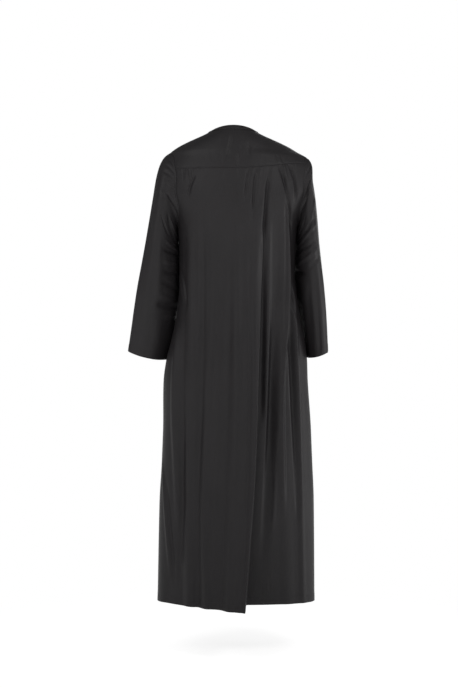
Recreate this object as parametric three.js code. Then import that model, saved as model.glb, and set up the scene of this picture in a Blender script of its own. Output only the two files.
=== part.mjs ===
// A collarless ankle-length djellaba, as it hangs on a standing wearer with the arms down.
// Every cloth piece is a thin closed wall. The body is a stack of rings round the trunk: the back
// and front halves of a ring are arcs of an ellipse, folds push them along the cloth's own normal,
// and pieces that are sewn together share the points of their seam, parted by a small gap.
// Millimetres. +Z is up, the wearer faces -Y, and +X is the wearer's left. The origin is the middle
// of the neck opening, level with the two points where the shoulder seams meet the neckline.
import * as THREE from "three";

// Driving dimensions.
const CLOTH = 1.5; // thickness of every wall
const SEAM_GAP = 0.3; // between two pieces at a seam, and under a piece laid on another
const HEM_Z = -1401; // level of the hem
const SHOULDER_TIP_Z = -62; // top of the armhole
const UNDERARM_Z = -285; // foot of the armhole
const ARMHOLE_BACK = 72; // how far the armhole reaches behind the shoulder seam
const ARMHOLE_FRONT = 62; // and before it
const NAPE_RISE = 12; // the back of the neckline stands above its sides
const NAPE_FALL = -118; // down to this level
const NECK_DROP = 62; // and the front hangs below them
const BAND_ROW = -5; // level of the neck band's lower edge at the shoulder seams
const BAND_ROW_NAPE = -5; // and how much lower it lies at the nape
const BAND_ROW_THROAT = -13; // and at the throat
const PLACKET_HALF = 17; // half the width of the chest placket
const SLIT_LENGTH = 245; // chest slit under the placket, from the neckline
const CLOTH_COLOUR = 0x2b2a2d;
const CLOTH_ROUGHNESS = 0.55;
const BACK = 1;
const FRONT = -1;

// The rings of the body without its folds. z: level at the shoulder seam or side.
// wide: half the width, as if the armholes weren't cut. shift: how far the middle sits to the wearer's left.
// back, front: depth behind and before the shoulder seam.
// round: power of the ring's arc, 1 for an ellipse and less for a squarer one.
const RINGS = [
  { z: 0, wide: 65, shift: 2, back: 60, front: 62, round: 1 },
  { z: -14, wide: 94, shift: 3, back: 70, front: 68, round: 1 },
  { z: -30, wide: 131, shift: 3, back: 79, front: 73, round: 1 },
  { z: -46, wide: 164, shift: 2, back: 86, front: 77, round: 1 },
  { z: -62, wide: 189, shift: 0, back: 92, front: 81, round: 1 },
  { z: -80, wide: 211, shift: -14, back: 98, front: 87, round: 0.98 },
  { z: -118, wide: 231, shift: -18, back: 109, front: 100, round: 0.95 },
  { z: -172, wide: 234, shift: -18, back: 118, front: 117, round: 0.92 },
  { z: -240, wide: 200, shift: -16, back: 121, front: 124, round: 0.9 },
  { z: -262, wide: 189, shift: -13, back: 121, front: 125, round: 0.895 },
  { z: -285, wide: 181, shift: -11, back: 121, front: 126, round: 0.89 },
  { z: -312, wide: 177, shift: -10, back: 119, front: 126, round: 0.885 },
  { z: -340, wide: 175, shift: -10, back: 117, front: 125, round: 0.88 },
  { z: -420, wide: 173, shift: -9, back: 112, front: 121, round: 0.86 },
  { z: -500, wide: 178, shift: -12, back: 110, front: 118, round: 0.84 },
  { z: -560, wide: 187, shift: -13, back: 113, front: 119, round: 0.83 },
  { z: -620, wide: 199, shift: -12, back: 117, front: 121, round: 0.82 },
  { z: -684, wide: 211, shift: -8, back: 120, front: 124, round: 0.81 },
  { z: -744, wide: 216, shift: -5, back: 122, front: 127, round: 0.8 },
  { z: -900, wide: 222, shift: -9, back: 118, front: 134, round: 0.78 },
  { z: -1000, wide: 226, shift: -9, back: 115, front: 138, round: 0.76 },
  { z: -1100, wide: 231, shift: -8, back: 112, front: 142, round: 0.74 },
  { z: HEM_Z, wide: 235, shift: -6, back: 106, front: 152, round: 0.7 },
];

// The deep fold down the back: the cloth rises towards it from the wearer's left and drops off its edge.
// z: level. x: place of the edge. depth: height of the edge. rise: width of the slope up to it.
// drop: width of the drop beyond it.
const DEEP_FOLD = [
  { z: -130, x: -90, depth: 0, rise: 76, drop: 16 },
  { z: -200, x: -88, depth: 1, rise: 80, drop: 15 },
  { z: -300, x: -86, depth: 4, rise: 92, drop: 14 },
  { z: -430, x: -82, depth: 9, rise: 100, drop: 14 },
  { z: -508, x: -77, depth: 15, rise: 108, drop: 14 },
  { z: -575, x: -74, depth: 21, rise: 116, drop: 14 },
  { z: -653, x: -70, depth: 29, rise: 124, drop: 13 },
  { z: -798, x: -63, depth: 45, rise: 146, drop: 13 },
  { z: -941, x: -57, depth: 62, rise: 168, drop: 13 },
  { z: -1084, x: -49, depth: 81, rise: 192, drop: 12 },
  { z: -1225, x: -38, depth: 103, rise: 212, drop: 12 },
  { z: HEM_Z, x: -26, depth: 127, rise: 235, drop: 12 },
];
const DEEP_FOLD_POWER = 1.3; // how hollow the slope is

// The other long folds. side: half of the body. top, low: levels where it starts and ends.
// x1, x2, x3: its place at the start, halfway and at the end.
// d1, d2, d3: its height there, negative for a trough. half: half its width.
const FOLDS = [
  { side: BACK, top: -120, low: -400, x1: -122, x2: -133, x3: -142, d1: -3, d2: -6, d3: -2, half: 13 },
  { side: BACK, top: -122, low: -330, x1: -66, x2: -56, x3: -46, d1: -2, d2: -4, d3: -1, half: 10 },
  { side: BACK, top: -122, low: -330, x1: -42, x2: -37, x3: -32, d1: -2, d2: -4, d3: -1, half: 10 },
  { side: BACK, top: -130, low: -230, x1: 108, x2: 124, x3: 134, d1: -2, d2: -4, d3: -1, half: 10 },
  { side: BACK, top: -200, low: -1180, x1: -111, x2: -104, x3: -88, d1: -4, d2: -13, d3: -3, half: 20 },
  { side: BACK, top: -190, low: -1401, x1: -127, x2: -124, x3: -104, d1: 3, d2: 7, d3: 2, half: 18 },
  { side: BACK, top: -170, low: -1180, x1: -168, x2: -148, x3: -184, d1: 8, d2: 13, d3: 3, half: 16 },
  { side: BACK, top: -560, low: -1120, x1: -160, x2: -178, x3: -188, d1: -4, d2: -10, d3: -3, half: 17 },
  { side: BACK, top: -580, low: -1300, x1: -174, x2: -201, x3: -210, d1: 3, d2: 10, d3: 3, half: 17 },
  { side: BACK, top: -250, low: -1401, x1: -109, x2: -82, x3: -47, d1: 1, d2: 6, d3: 1, half: 12 },
  { side: BACK, top: -200, low: -1120, x1: 74, x2: 89, x3: 92, d1: -2, d2: -6, d3: -3, half: 24 },
  { side: BACK, top: -240, low: -1401, x1: 2, x2: 24, x3: 38, d1: -2, d2: -7, d3: -10, half: 28 },
  { side: BACK, top: -230, low: -1401, x1: -23, x2: -28, x3: -4, d1: 3, d2: 5, d3: 5, half: 20 },
  { side: BACK, top: -250, low: -1380, x1: 105, x2: 117, x3: 102, d1: 2, d2: 5, d3: 5, half: 20 },
  { side: BACK, top: -560, low: -1350, x1: 138, x2: 134, x3: 154, d1: -2, d2: -5, d3: -5, half: 18 },
  { side: BACK, top: -600, low: -1120, x1: 165, x2: 172, x3: 160, d1: 2, d2: 5, d3: 2, half: 15 },
  { side: BACK, top: -1060, low: -1401, x1: 200, x2: 195, x3: 182, d1: 1, d2: 6, d3: 8, half: 17 },
  { side: FRONT, top: -300, low: -1401, x1: 96, x2: 104, x3: 128, d1: 3, d2: 13, d3: 30, half: 46 },
  { side: FRONT, top: -380, low: -1401, x1: 48, x2: 52, x3: 66, d1: -2, d2: -9, d3: -16, half: 34 },
  { side: FRONT, top: -520, low: -1401, x1: 6, x2: 2, x3: 12, d1: 2, d2: 9, d3: 20, half: 36 },
  { side: FRONT, top: -420, low: -1401, x1: -42, x2: -50, x3: -48, d1: -2, d2: -8, d3: -14, half: 32 },
  { side: FRONT, top: -290, low: -1401, x1: -92, x2: -106, x3: -112, d1: 3, d2: 14, d3: 34, half: 44 },
  { side: FRONT, top: -620, low: -1401, x1: -160, x2: -168, x3: -176, d1: -2, d2: -8, d3: -10, half: 26 },
  { side: FRONT, top: -640, low: -1401, x1: 158, x2: 166, x3: 182, d1: -2, d2: -7, d3: -9, half: 26 },
];

// Gathers let into the yoke seam. from, to: where the group lies along the seam. count: gathers in it.
// depth: height of one. length: how far down it shows.
const GATHERS = [
  { from: 164, to: 98, count: 5, depth: 1.2, length: 60 },
  { from: 42, to: -12, count: 3, depth: 0.8, length: 60 },
  { from: -24, to: -182, count: 10, depth: 1.2, length: 80 },
];
const GATHER_START = 12; // they reach their height this far below the seam
const GATHER_HALF = 0.56; // half the width of one, as a share of their spacing
// How unevenly they fall: shares of the spacing, the height and the length, and how fast those change.
const UNEVEN = { place: 0.16, height: 0.3, length: 0.35, turn: 2.4, lengthTurn: 1.7 };

// The sleeves, from the armhole to the cuff. outX, outZ: the outer edge. inX, inZ: the inner edge.
// middle: how far behind the shoulder seam the ring's middle lies. deep: half its depth.
// lean: how much further back the inner edge lies, negative where it lies further forward.
const LEFT_SLEEVE = [
  { outX: 189, outZ: -62, inX: 170, inZ: -285, middle: 5, deep: 67, lean: 0 },
  { outX: 207, outZ: -76, inX: 170, inZ: -289, middle: 9, deep: 71, lean: -16 },
  { outX: 221, outZ: -100, inX: 170, inZ: -296, middle: 14, deep: 76, lean: -32 },
  { outX: 233, outZ: -144, inX: 168, inZ: -308, middle: 19, deep: 80, lean: -46 },
  { outX: 242, outZ: -204, inX: 168, inZ: -324, middle: 22, deep: 81, lean: -56 },
  { outX: 252, outZ: -268, inX: 165, inZ: -346, middle: 25, deep: 80, lean: -64 },
  { outX: 263, outZ: -334, inX: 164, inZ: -378, middle: 27, deep: 77, lean: -68 },
  { outX: 275, outZ: -400, inX: 163, inZ: -424, middle: 28, deep: 72, lean: -70 },
  { outX: 287, outZ: -464, inX: 164, inZ: -480, middle: 28, deep: 66, lean: -70 },
  { outX: 297, outZ: -528, inX: 173, inZ: -542, middle: 25, deep: 59, lean: -68 },
  { outX: 306, outZ: -590, inX: 182, inZ: -606, middle: 20, deep: 52, lean: -64 },
  { outX: 316, outZ: -655, inX: 199, inZ: -680, middle: 14, deep: 46, lean: -60 },
];
const RIGHT_SLEEVE = [
  { outX: -189, outZ: -62, inX: -192, inZ: -285, middle: 5, deep: 67, lean: 0 },
  { outX: -211, outZ: -76, inX: -193, inZ: -289, middle: 9, deep: 71, lean: -16 },
  { outX: -226, outZ: -100, inX: -193, inZ: -296, middle: 14, deep: 76, lean: -32 },
  { outX: -234, outZ: -144, inX: -190, inZ: -308, middle: 19, deep: 81, lean: -46 },
  { outX: -243, outZ: -204, inX: -188.5, inZ: -324, middle: 22, deep: 83, lean: -56 },
  { outX: -249, outZ: -268, inX: -187, inZ: -346, middle: 25, deep: 83, lean: -64 },
  { outX: -254, outZ: -334, inX: -184, inZ: -378, middle: 27, deep: 82, lean: -68 },
  { outX: -261, outZ: -400, inX: -183, inZ: -424, middle: 28, deep: 80, lean: -70 },
  { outX: -268, outZ: -464, inX: -187, inZ: -480, middle: 28, deep: 76, lean: -70 },
  { outX: -274, outZ: -528, inX: -197, inZ: -540, middle: 25, deep: 72, lean: -68 },
  { outX: -278, outZ: -590, inX: -208, inZ: -602, middle: 20, deep: 68, lean: -64 },
  { outX: -281, outZ: -654, inX: -217, inZ: -672, middle: 14, deep: 64, lean: -60 },
];
const CUFF_DIP = 11; // the back of the cuff hangs lower than its edges
const ARMHOLE_BLEND = 4; // over this many rings a sleeve changes from the armhole's form to its own

// Folds of the sleeves. round: place round the ring, in degrees from the outer edge towards the back.
// top, low: where it starts and ends, as shares of the sleeve. turn: how far it winds on the way down.
const LEFT_SLEEVE_FOLDS = [
  { round: 40, turn: 85, top: 0.06, low: 0.42, depth: -6, half: 20 },
  { round: 70, turn: 80, top: 0.05, low: 0.38, depth: 5, half: 18 },
  { round: 110, turn: 30, top: 0.45, low: 0.72, depth: -7, half: 24 },
  { round: 60, turn: 10, top: 0.5, low: 1, depth: 5, half: 30 },
  { round: 250, turn: 40, top: 0.4, low: 0.75, depth: -6, half: 26 },
];
const RIGHT_SLEEVE_FOLDS = [
  { round: 45, turn: 70, top: 0.08, low: 0.44, depth: -6, half: 20 },
  { round: 80, turn: 60, top: 0.1, low: 0.5, depth: 5, half: 18 },
  { round: 100, turn: -50, top: 0.45, low: 0.66, depth: -7, half: 22 },
  { round: 40, turn: 20, top: 0.55, low: 1, depth: 5, half: 28 },
  { round: 240, turn: 40, top: 0.42, low: 0.75, depth: -6, half: 26 },
];

// How finely the pieces are divided.
const NECK_ROWS = [0, BAND_ROW, -25, -44]; // levels above the armhole
const ARMHOLE_TURNS = [0, 16, 32, 46, 60, 67, 80, 96, 113, 131, 149, 166, 180]; // degrees down the armhole
const BACK_RIGHT_TURNS = [0, 12, 24, 36, 48, 57, 71, 89, 108, 128, 148, 166, 180]; // behind, on the right
const YOKE_TURNS = 4; // the yoke seam meets the armhole at this place in the two lists
const SKIRT_ROWS = 12; // rows from the underarm to the hem
const SKIRT_SPREAD = 1.12; // over 1 sets the upper ones closer together
const BACK_COLUMNS = 60; // an even number
const FRONT_COLUMNS = 28;
const FINE = 400; // steps used to measure along a ring
const CUT_STEPS = 24; // steps used to measure what an armhole cuts away
const DRAW_ZONE = 80; // the columns that the armhole moves lie within this distance of it
const EDGE_FADE = 26; // the folds die away over this distance from the side seams and armholes
const FOLD_SHARE = 0.35; // how far the columns spread by the cloth's own length rather than the ring's
const DROP_CROWD = 2.2; // and how much closer they lie in the drop of the deep fold
const FRONT_CENTRE = { neck: 2, waist: -8, hem: -6 }; // X of the line down the middle of the front
const FOLD_FADE = 6; // the folds rise and die away over this part of their length, here a sixth
const NORMAL_STEP = { across: 0.004, level: 1.5 }; // distance to the neighbours that give a direction
const SAME_POINT = 0.005; // points of two pieces closer than this are one point of their seam
const MAX_REACH = 1.6; // a sharp corner's inner point moves at most so many times as far
const MIN_CORNER = 0.4; // the least share of a right-angled corner that a rim's corner is taken for

const DEGREES = Math.PI / 180;

// Value of a column of a table at some level, along a smooth curve that never overshoots its rows.
function along(table, key, column, at) {
  const down = table[table.length - 1][key] < table[0][key] ? -1 : 1;
  const t = table.map((row) => row[key] * down);
  const v = table.map((row) => row[column]);
  const p = Math.min(Math.max(at * down, t[0]), t[t.length - 1]);
  let i = 0;
  while (i < t.length - 2 && p > t[i + 1]) i++;
  const slope = (k) => (v[k + 1] - v[k]) / (t[k + 1] - t[k]);
  const tangent = (k) => {
    if (k === 0) return slope(0);
    if (k === t.length - 1) return slope(k - 1);
    const [a, b] = [slope(k - 1), slope(k)];
    return a * b <= 0 ? 0 : (2 * a * b) / (a + b);
  };
  const step = t[i + 1] - t[i];
  const u = (p - t[i]) / step;
  const [m0, m1] = [tangent(i) * step, tangent(i + 1) * step];
  return (
    v[i] * (1 + 2 * u) * (1 - u) ** 2 +
    m0 * u * (1 - u) ** 2 +
    v[i + 1] * u * u * (3 - 2 * u) +
    m1 * u * u * (u - 1)
  );
}

// A curve through three values, at 0, a half and 1.
const through = (a, b, c, u) => a * (1 - u) * (1 - 2 * u) + 4 * b * u * (1 - u) + c * u * (2 * u - 1);

const smoothstep = (u) => {
  const c = Math.min(Math.max(u, 0), 1);
  return c * c * (3 - 2 * c);
};

// A bump that is 1 in the middle and 0 from one half width out.
const bump = (u) => (Math.abs(u) < 1 ? (1 - u * u) ** 2 : 0);

// Half the armhole's opening at a level, behind or before the shoulder seam; 0 above and below it.
function armholeReach(side, z) {
  const q = (z - SHOULDER_TIP_Z) / (UNDERARM_Z - SHOULDER_TIP_Z);
  if (q <= 0 || q >= 1) return 0;
  return (side === BACK ? ARMHOLE_BACK : ARMHOLE_FRONT) * Math.sqrt(1 - (2 * q - 1) ** 2);
}

// Angle at which a ring reaches the armhole, or the side seam: 0 is the middle of the back or front.
function edgeAngle(side, z) {
  const depth = along(RINGS, "z", side === BACK ? "back" : "front", z);
  return Math.acos((armholeReach(side, z) / depth) ** (1 / along(RINGS, "z", "round", z)));
}

// A point of the body without folds, at an angle round the ring.
function ringPoint(side, angle, z) {
  const depth = along(RINGS, "z", side === BACK ? "back" : "front", z);
  const fall = Math.max(0, 1 - z / (side === BACK ? NAPE_FALL : UNDERARM_Z));
  const lift = side === BACK ? NAPE_RISE * fall ** 2 : -NECK_DROP * fall ** 1.5;
  return new THREE.Vector3(
    along(RINGS, "z", "shift", z) + along(RINGS, "z", "wide", z) * Math.sin(angle),
    side * depth * Math.max(0, Math.cos(angle)) ** along(RINGS, "z", "round", z),
    z + lift * Math.cos(angle) ** 2,
  );
}

// The same, where across runs from -1 at the wearer's right edge of this half to 1 at the left.
const bodyPoint = (side, across, z) => ringPoint(side, across * edgeAngle(side, z), z);

// Length of a ring that an armhole cuts away.
function cutLength(side, way, z) {
  const edge = edgeAngle(side, z);
  const points = [];
  for (let i = 0; i <= CUT_STEPS; i++) {
    points.push(ringPoint(side, way * (edge + ((Math.PI / 2 - edge) * i) / CUT_STEPS), z));
  }
  return points.slice(1).reduce((sum, p, i) => sum + p.distanceTo(points[i]), 0);
}

// The body's outward direction at a point, from its neighbours.
function bodyNormal(side, across, z) {
  const step = NORMAL_STEP.across;
  const c = Math.min(Math.max(across, -1 + step), 1 - step);
  const [above, below] = [Math.min(z + NORMAL_STEP.level, 0), Math.max(z - NORMAL_STEP.level, HEM_Z)];
  const sideways = bodyPoint(side, c + step, z).sub(bodyPoint(side, c - step, z));
  const down = bodyPoint(side, c, below).sub(bodyPoint(side, c, above));
  return sideways.cross(down).multiplyScalar(side).normalize();
}

// How far the folds stand out. place: distance along the ring from the wearer's right edge.
// placeOf turns an X across the body into such a place. belowYoke: distance below the yoke seam.
function foldHeight(side, place, placeOf, z, belowYoke) {
  let height = 0;
  for (const f of FOLDS) {
    if (f.side !== side || z > f.top || z < f.low) continue;
    const u = (f.top - z) / (f.top - f.low);
    const ends = smoothstep(u * FOLD_FADE) * (f.low <= HEM_Z ? 1 : smoothstep((1 - u) * FOLD_FADE));
    const middle = placeOf(through(f.x1, f.x2, f.x3, u));
    height += ends * through(f.d1, f.d2, f.d3, u) * bump((place - middle) / f.half);
  }
  if (side === FRONT) return height;
  const edge = placeOf(along(DEEP_FOLD, "z", "x", z));
  const depth = z < DEEP_FOLD[0].z ? along(DEEP_FOLD, "z", "depth", z) : 0;
  const rise = along(DEEP_FOLD, "z", "rise", z);
  const before = (place - edge) / rise;
  if (before >= 0) height += depth * Math.max(0, 1 - before) ** DEEP_FOLD_POWER;
  else height += depth * (1 - smoothstep((edge - place) / along(DEEP_FOLD, "z", "drop", z)));
  return height + gatherHeight(place, placeOf, belowYoke);
}

// Height of the gathers below the yoke seam: each is a small rounded ridge of its own length.
function gatherHeight(place, placeOf, below) {
  if (below <= 0) return 0;
  let height = 0;
  for (const group of GATHERS) {
    const pitch = (group.to - group.from) / group.count;
    for (let i = 0; i < group.count; i++) {
      const uneven = Math.sin(UNEVEN.turn * i + group.from);
      const middle = placeOf(group.from + pitch * (i + 0.5 + UNEVEN.place * uneven));
      const length = group.length * (1 + UNEVEN.length * Math.sin(UNEVEN.lengthTurn * i + group.to));
      const fade = smoothstep(below / GATHER_START) * (1 - smoothstep(below / length));
      const ridge = bump((place - middle) / (Math.abs(pitch) * GATHER_HALF));
      height += group.depth * (1 + UNEVEN.height * uneven) * fade * ridge;
    }
  }
  return height;
}

// Moves a distance from the end of an uncut ring to where the cut ring has room for it.
const drawIn = (distance, cut) =>
  distance < cut + DRAW_ZONE ? cut + (distance * DRAW_ZONE) / (cut + DRAW_ZONE) : distance;

// Where a value lies in a rising list: the entry before it, and the share of the way to the next.
function find(list, value) {
  let i = 0;
  while (i < list.length - 2 && list[i + 1] < value) i++;
  return [i, Math.min(Math.max((value - list[i]) / (list[i + 1] - list[i]), 0), 1)];
}

// A row's ring in fine steps, before and after its folds, with its length from the wearer's right edge.
function fineRing(side, levels) {
  const shares = Array.from({ length: FINE + 1 }, (_, i) => (2 * i) / FINE - 1);
  const base = shares.map((across) => bodyPoint(side, across, rowLevel(levels, across)));
  const length = [0];
  for (let i = 1; i <= FINE; i++) length.push(length[i - 1] + base[i].distanceTo(base[i - 1]));
  const xs = base.map((point) => point.x);
  const placeOf = (x) => {
    const [i, u] = find(xs, x);
    return length[i] + u * (length[i + 1] - length[i]);
  };
  const folded = base.map((point, i) => {
    const z = rowLevel(levels, shares[i]);
    const edges = smoothstep(length[i] / EDGE_FADE) * smoothstep((length[FINE] - length[i]) / EDGE_FADE);
    const below = rowLevel(yokeSeamLevels, shares[i]) - z;
    const height = foldHeight(side, length[i], placeOf, z, below) * edges;
    return point.clone().addScaledVector(bodyNormal(side, shares[i], z), height);
  });
  return { length, placeOf, folded };
}

// One row of the back or front: its folded points, spread by their distance along the cloth.
// Columns crowd where the deep fold turns, so that they follow it down.
function bodyRow(side, levels, columns, placket = false) {
  const { length, placeOf, folded } = fineRing(side, levels);
  const middleLevel = rowLevel(levels, 0);
  const dropWidth = along(DEEP_FOLD, "z", "drop", middleLevel);
  const drop = placeOf(along(DEEP_FOLD, "z", "x", middleLevel)) - dropWidth / 2;
  const walked = [0];
  for (let i = 1; i <= FINE; i++) {
    const crowd = side === BACK ? DROP_CROWD * Math.exp(-(((length[i] - drop) / dropWidth) ** 2)) : 0;
    const cloth = folded[i].distanceTo(folded[i - 1]) * (FOLD_SHARE + crowd);
    walked.push(walked[i - 1] + cloth + (length[i] - length[i - 1]) * (1 - FOLD_SHARE));
  }
  const pointAt = (distance) => {
    const [i, u] = find(walked, distance);
    return folded[i].clone().lerp(folded[i + 1], u);
  };
  // Above the underarm the columns keep their places, and only those near an armhole draw together.
  const cutRight = cutLength(side, -1, levels[1]);
  const cutLeft = cutLength(side, 1, levels[0]);
  const end = walked[FINE] + cutLeft;
  const stops = [{ column: 0, walk: -cutRight }];
  // The three columns of the placket stay at the middle of the front, and the rest are spread evenly.
  if (placket) {
    const { neck, waist, hem } = FRONT_CENTRE;
    const centre = placeOf(through(neck, waist, hem, middleLevel / HEM_Z));
    for (const k of [-1, 0, 1]) {
      const [i, u] = find(length, centre + k * PLACKET_HALF);
      stops.push({ column: columns / 2 + k, walk: walked[i] + u * (walked[i + 1] - walked[i]) });
    }
  }
  stops.push({ column: columns, walk: end });
  const row = [];
  for (let c = 0; c <= columns; c++) {
    let k = 0;
    while (c > stops[k + 1].column) k++;
    const [a, b] = [stops[k], stops[k + 1]];
    const walk = a.walk + ((b.walk - a.walk) * (c - a.column)) / (b.column - a.column);
    const right = drawIn(walk + cutRight, cutRight) - cutRight;
    row.push(pointAt(end - drawIn(end - right, cutLeft)));
  }
  return row;
}

// Levels of the rows, from the neckline down, each at the wearer's left, at the right, and how much
// lower it is in the middle.
const turnLevel = (turn) =>
  SHOULDER_TIP_Z + ((UNDERARM_Z - SHOULDER_TIP_Z) * (1 - Math.cos(turn * DEGREES))) / 2;
const neckLevels = (middle) => NECK_ROWS.map((z) => [z, z, z === BAND_ROW ? middle : 0]);
const backArmLevels = ARMHOLE_TURNS.map((turn, i) => [turnLevel(turn), turnLevel(BACK_RIGHT_TURNS[i]), 0]);
const frontArmLevels = ARMHOLE_TURNS.map((turn) => [turnLevel(turn), turnLevel(turn), 0]);
const yokeSeamLevels = backArmLevels[YOKE_TURNS];
const skirtLevels = [];
for (let i = 1; i <= SKIRT_ROWS; i++) {
  const z = UNDERARM_Z + (HEM_Z - UNDERARM_Z) * (i / SKIRT_ROWS) ** SKIRT_SPREAD;
  skirtLevels.push([z, z, 0]);
}

// Level of a row at a place across the body: it leaves its left level on the right-hand half.
const rowLevel = ([left, right, middle], across) =>
  left + (right - left) * smoothstep(-across) + middle * Math.cos((across * Math.PI) / 2) ** 2;

// A piece under construction: its outer points, and faces that list them anticlockwise seen from outside.
const startPiece = (name) => ({ name, points: [], faces: [] });

// Adds a grid of points to a piece. wrap joins the last column to the first, flip turns the faces round.
// taken may give the index of a point that the piece already has.
function addGrid(piece, grid, { wrap = false, flip = false, taken = () => -1 } = {}) {
  const index = grid.map((row, r) =>
    row.map((point, c) => {
      const known = taken(r, c);
      return known >= 0 ? known : piece.points.push(point.clone()) - 1;
    }),
  );
  const columns = grid[0].length - (wrap ? 0 : 1);
  for (let r = 0; r < grid.length - 1; r++) {
    for (let c = 0; c < columns; c++) {
      const d = (c + 1) % grid[0].length;
      const quad = [index[r][c], index[r + 1][c], index[r + 1][d], index[r][d]];
      addQuad(piece, flip ? quad.reverse() : quad);
    }
  }
  return index;
}

// Splits a quad along its shorter diagonal.
function addQuad(piece, [a, b, c, d]) {
  const p = piece.points;
  if (p[a].distanceTo(p[c]) <= p[b].distanceTo(p[d])) piece.faces.push([a, b, c], [a, c, d]);
  else piece.faces.push([a, b, d], [b, c, d]);
}

// Outward directions at the points, averaged over all the pieces that meet there.
function seamNormals(pieces) {
  const key = (p) => p.toArray().map((v) => Math.round(v / SAME_POINT)).join();
  const sums = new Map();
  for (const piece of pieces) {
    for (const [a, b, c] of piece.faces) {
      const [pa, pb, pc] = [piece.points[a], piece.points[b], piece.points[c]];
      const normal = pb.clone().sub(pa).cross(pc.clone().sub(pa)).normalize();
      for (const [p, q, r] of [[pa, pb, pc], [pb, pc, pa], [pc, pa, pb]]) {
        const angle = q.clone().sub(p).angleTo(r.clone().sub(p));
        const k = key(p);
        if (!sums.has(k)) sums.set(k, { sum: new THREE.Vector3(), angle: 0 });
        sums.get(k).sum.addScaledVector(normal, angle);
        sums.get(k).angle += angle;
      }
    }
  }
  for (const piece of pieces) {
    piece.normals = piece.points.map((p) => sums.get(key(p)).sum.clone().normalize());
    // At a sharp corner the inner point moves further, so that the wall keeps its thickness.
    piece.reach = piece.points.map((p) => {
      const { sum, angle } = sums.get(key(p));
      return Math.min(MAX_REACH, angle / sum.length());
    });
  }
}

// Edges of a piece that only one of its faces uses, each with the direction into the piece.
function rimEdges(piece) {
  const edges = new Map();
  for (const face of piece.faces) {
    face.forEach((a, i) => {
      const b = face[(i + 1) % 3];
      const back = b + "-" + a;
      if (edges.has(back)) edges.delete(back);
      else edges.set(a + "-" + b, { a, b, c: face[(i + 2) % 3] });
    });
  }
  return [...edges.values()];
}

// Turns a piece into a closed wall: its outer points, the same points moved in, and a rim round the edge.
// Points of the rim draw back from the seam line by half the gap.
function wallGeometry(piece, lift = 0, thickness = CLOTH) {
  const rim = rimEdges(piece);
  const pull = new Map();
  for (const { a, b, c } of rim) {
    const edge = piece.points[b].clone().sub(piece.points[a]).normalize();
    for (const v of [a, b]) {
      const inward = piece.points[c].clone().sub(piece.points[v]);
      inward.addScaledVector(edge, -inward.dot(edge));
      inward.addScaledVector(piece.normals[v], -inward.dot(piece.normals[v])).normalize();
      pull.set(v, (pull.get(v) || []).concat([inward]));
    }
  }
  const outer = piece.points.map((p) => p.clone());
  pull.forEach((ways, v) => {
    const way = ways[0].clone();
    if (ways[1]) way.add(ways[1]).divideScalar(Math.max(MIN_CORNER, 1 + ways[0].dot(ways[1])));
    outer[v].addScaledVector(way, SEAM_GAP / 2);
  });
  const top = outer.map((p, i) => p.clone().addScaledVector(piece.normals[i], lift * piece.reach[i]));
  const inner = top.map((p, i) => p.clone().addScaledVector(piece.normals[i], -thickness * piece.reach[i]));
  const count = outer.length;
  const indices = [];
  for (const [a, b, c] of piece.faces) indices.push(a, b, c, a + count, c + count, b + count);
  for (const { a, b } of rim) {
    // Both pieces of a seam split their rims along the same diagonal, so that the rims don't cross.
    const [p, q] = [piece.points[a], piece.points[b]];
    if (p.z + p.y / 100 > q.z + q.y / 100) indices.push(b, a, b + count, a, a + count, b + count);
    else indices.push(b, a, a + count, b, a + count, b + count);
  }
  const geometry = new THREE.BufferGeometry();
  geometry.setAttribute(
    "position",
    new THREE.Float32BufferAttribute(top.concat(inner).flatMap((p) => p.toArray()), 3),
  );
  geometry.setIndex(indices);
  geometry.computeVertexNormals();
  return geometry;
}

// The back of the shoulders: yoke, then the gathered panel below it. The yoke uses every second column.
function backGrids() {
  const panelLevels = backArmLevels.slice(YOKE_TURNS).concat(skirtLevels);
  const yokeLevels = neckLevels(BAND_ROW_NAPE).concat(backArmLevels.slice(0, YOKE_TURNS));
  const panel = panelLevels.map((levels) => bodyRow(BACK, levels, BACK_COLUMNS));
  const yoke = yokeLevels.map((levels) => bodyRow(BACK, levels, BACK_COLUMNS / 2));
  yoke.push(panel[0].filter((_, c) => c % 2 === 0));
  return { yoke, panel };
}

// The front, in one piece from the shoulder seams to the hem, with columns along the placket's edges.
function frontGrid() {
  const rows = neckLevels(BAND_ROW_THROAT).concat(frontArmLevels, skirtLevels);
  return rows.map((levels) => bodyRow(FRONT, levels, FRONT_COLUMNS, true));
}

// A point of a sleeve ring: turn 0 is the outer edge, 90 the back, 180 the inner edge, 270 the front.
function sleeveRing(ring, turn) {
  const [c, s] = [Math.cos(turn), Math.sin(turn)];
  return new THREE.Vector3(
    (ring.outX + ring.inX) / 2 + ((ring.outX - ring.inX) / 2) * c,
    ring.middle + ring.deep * s + (ring.lean * (1 - c)) / 2,
    (ring.outZ + ring.inZ) / 2 + ((ring.outZ - ring.inZ) / 2) * c,
  );
}

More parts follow.
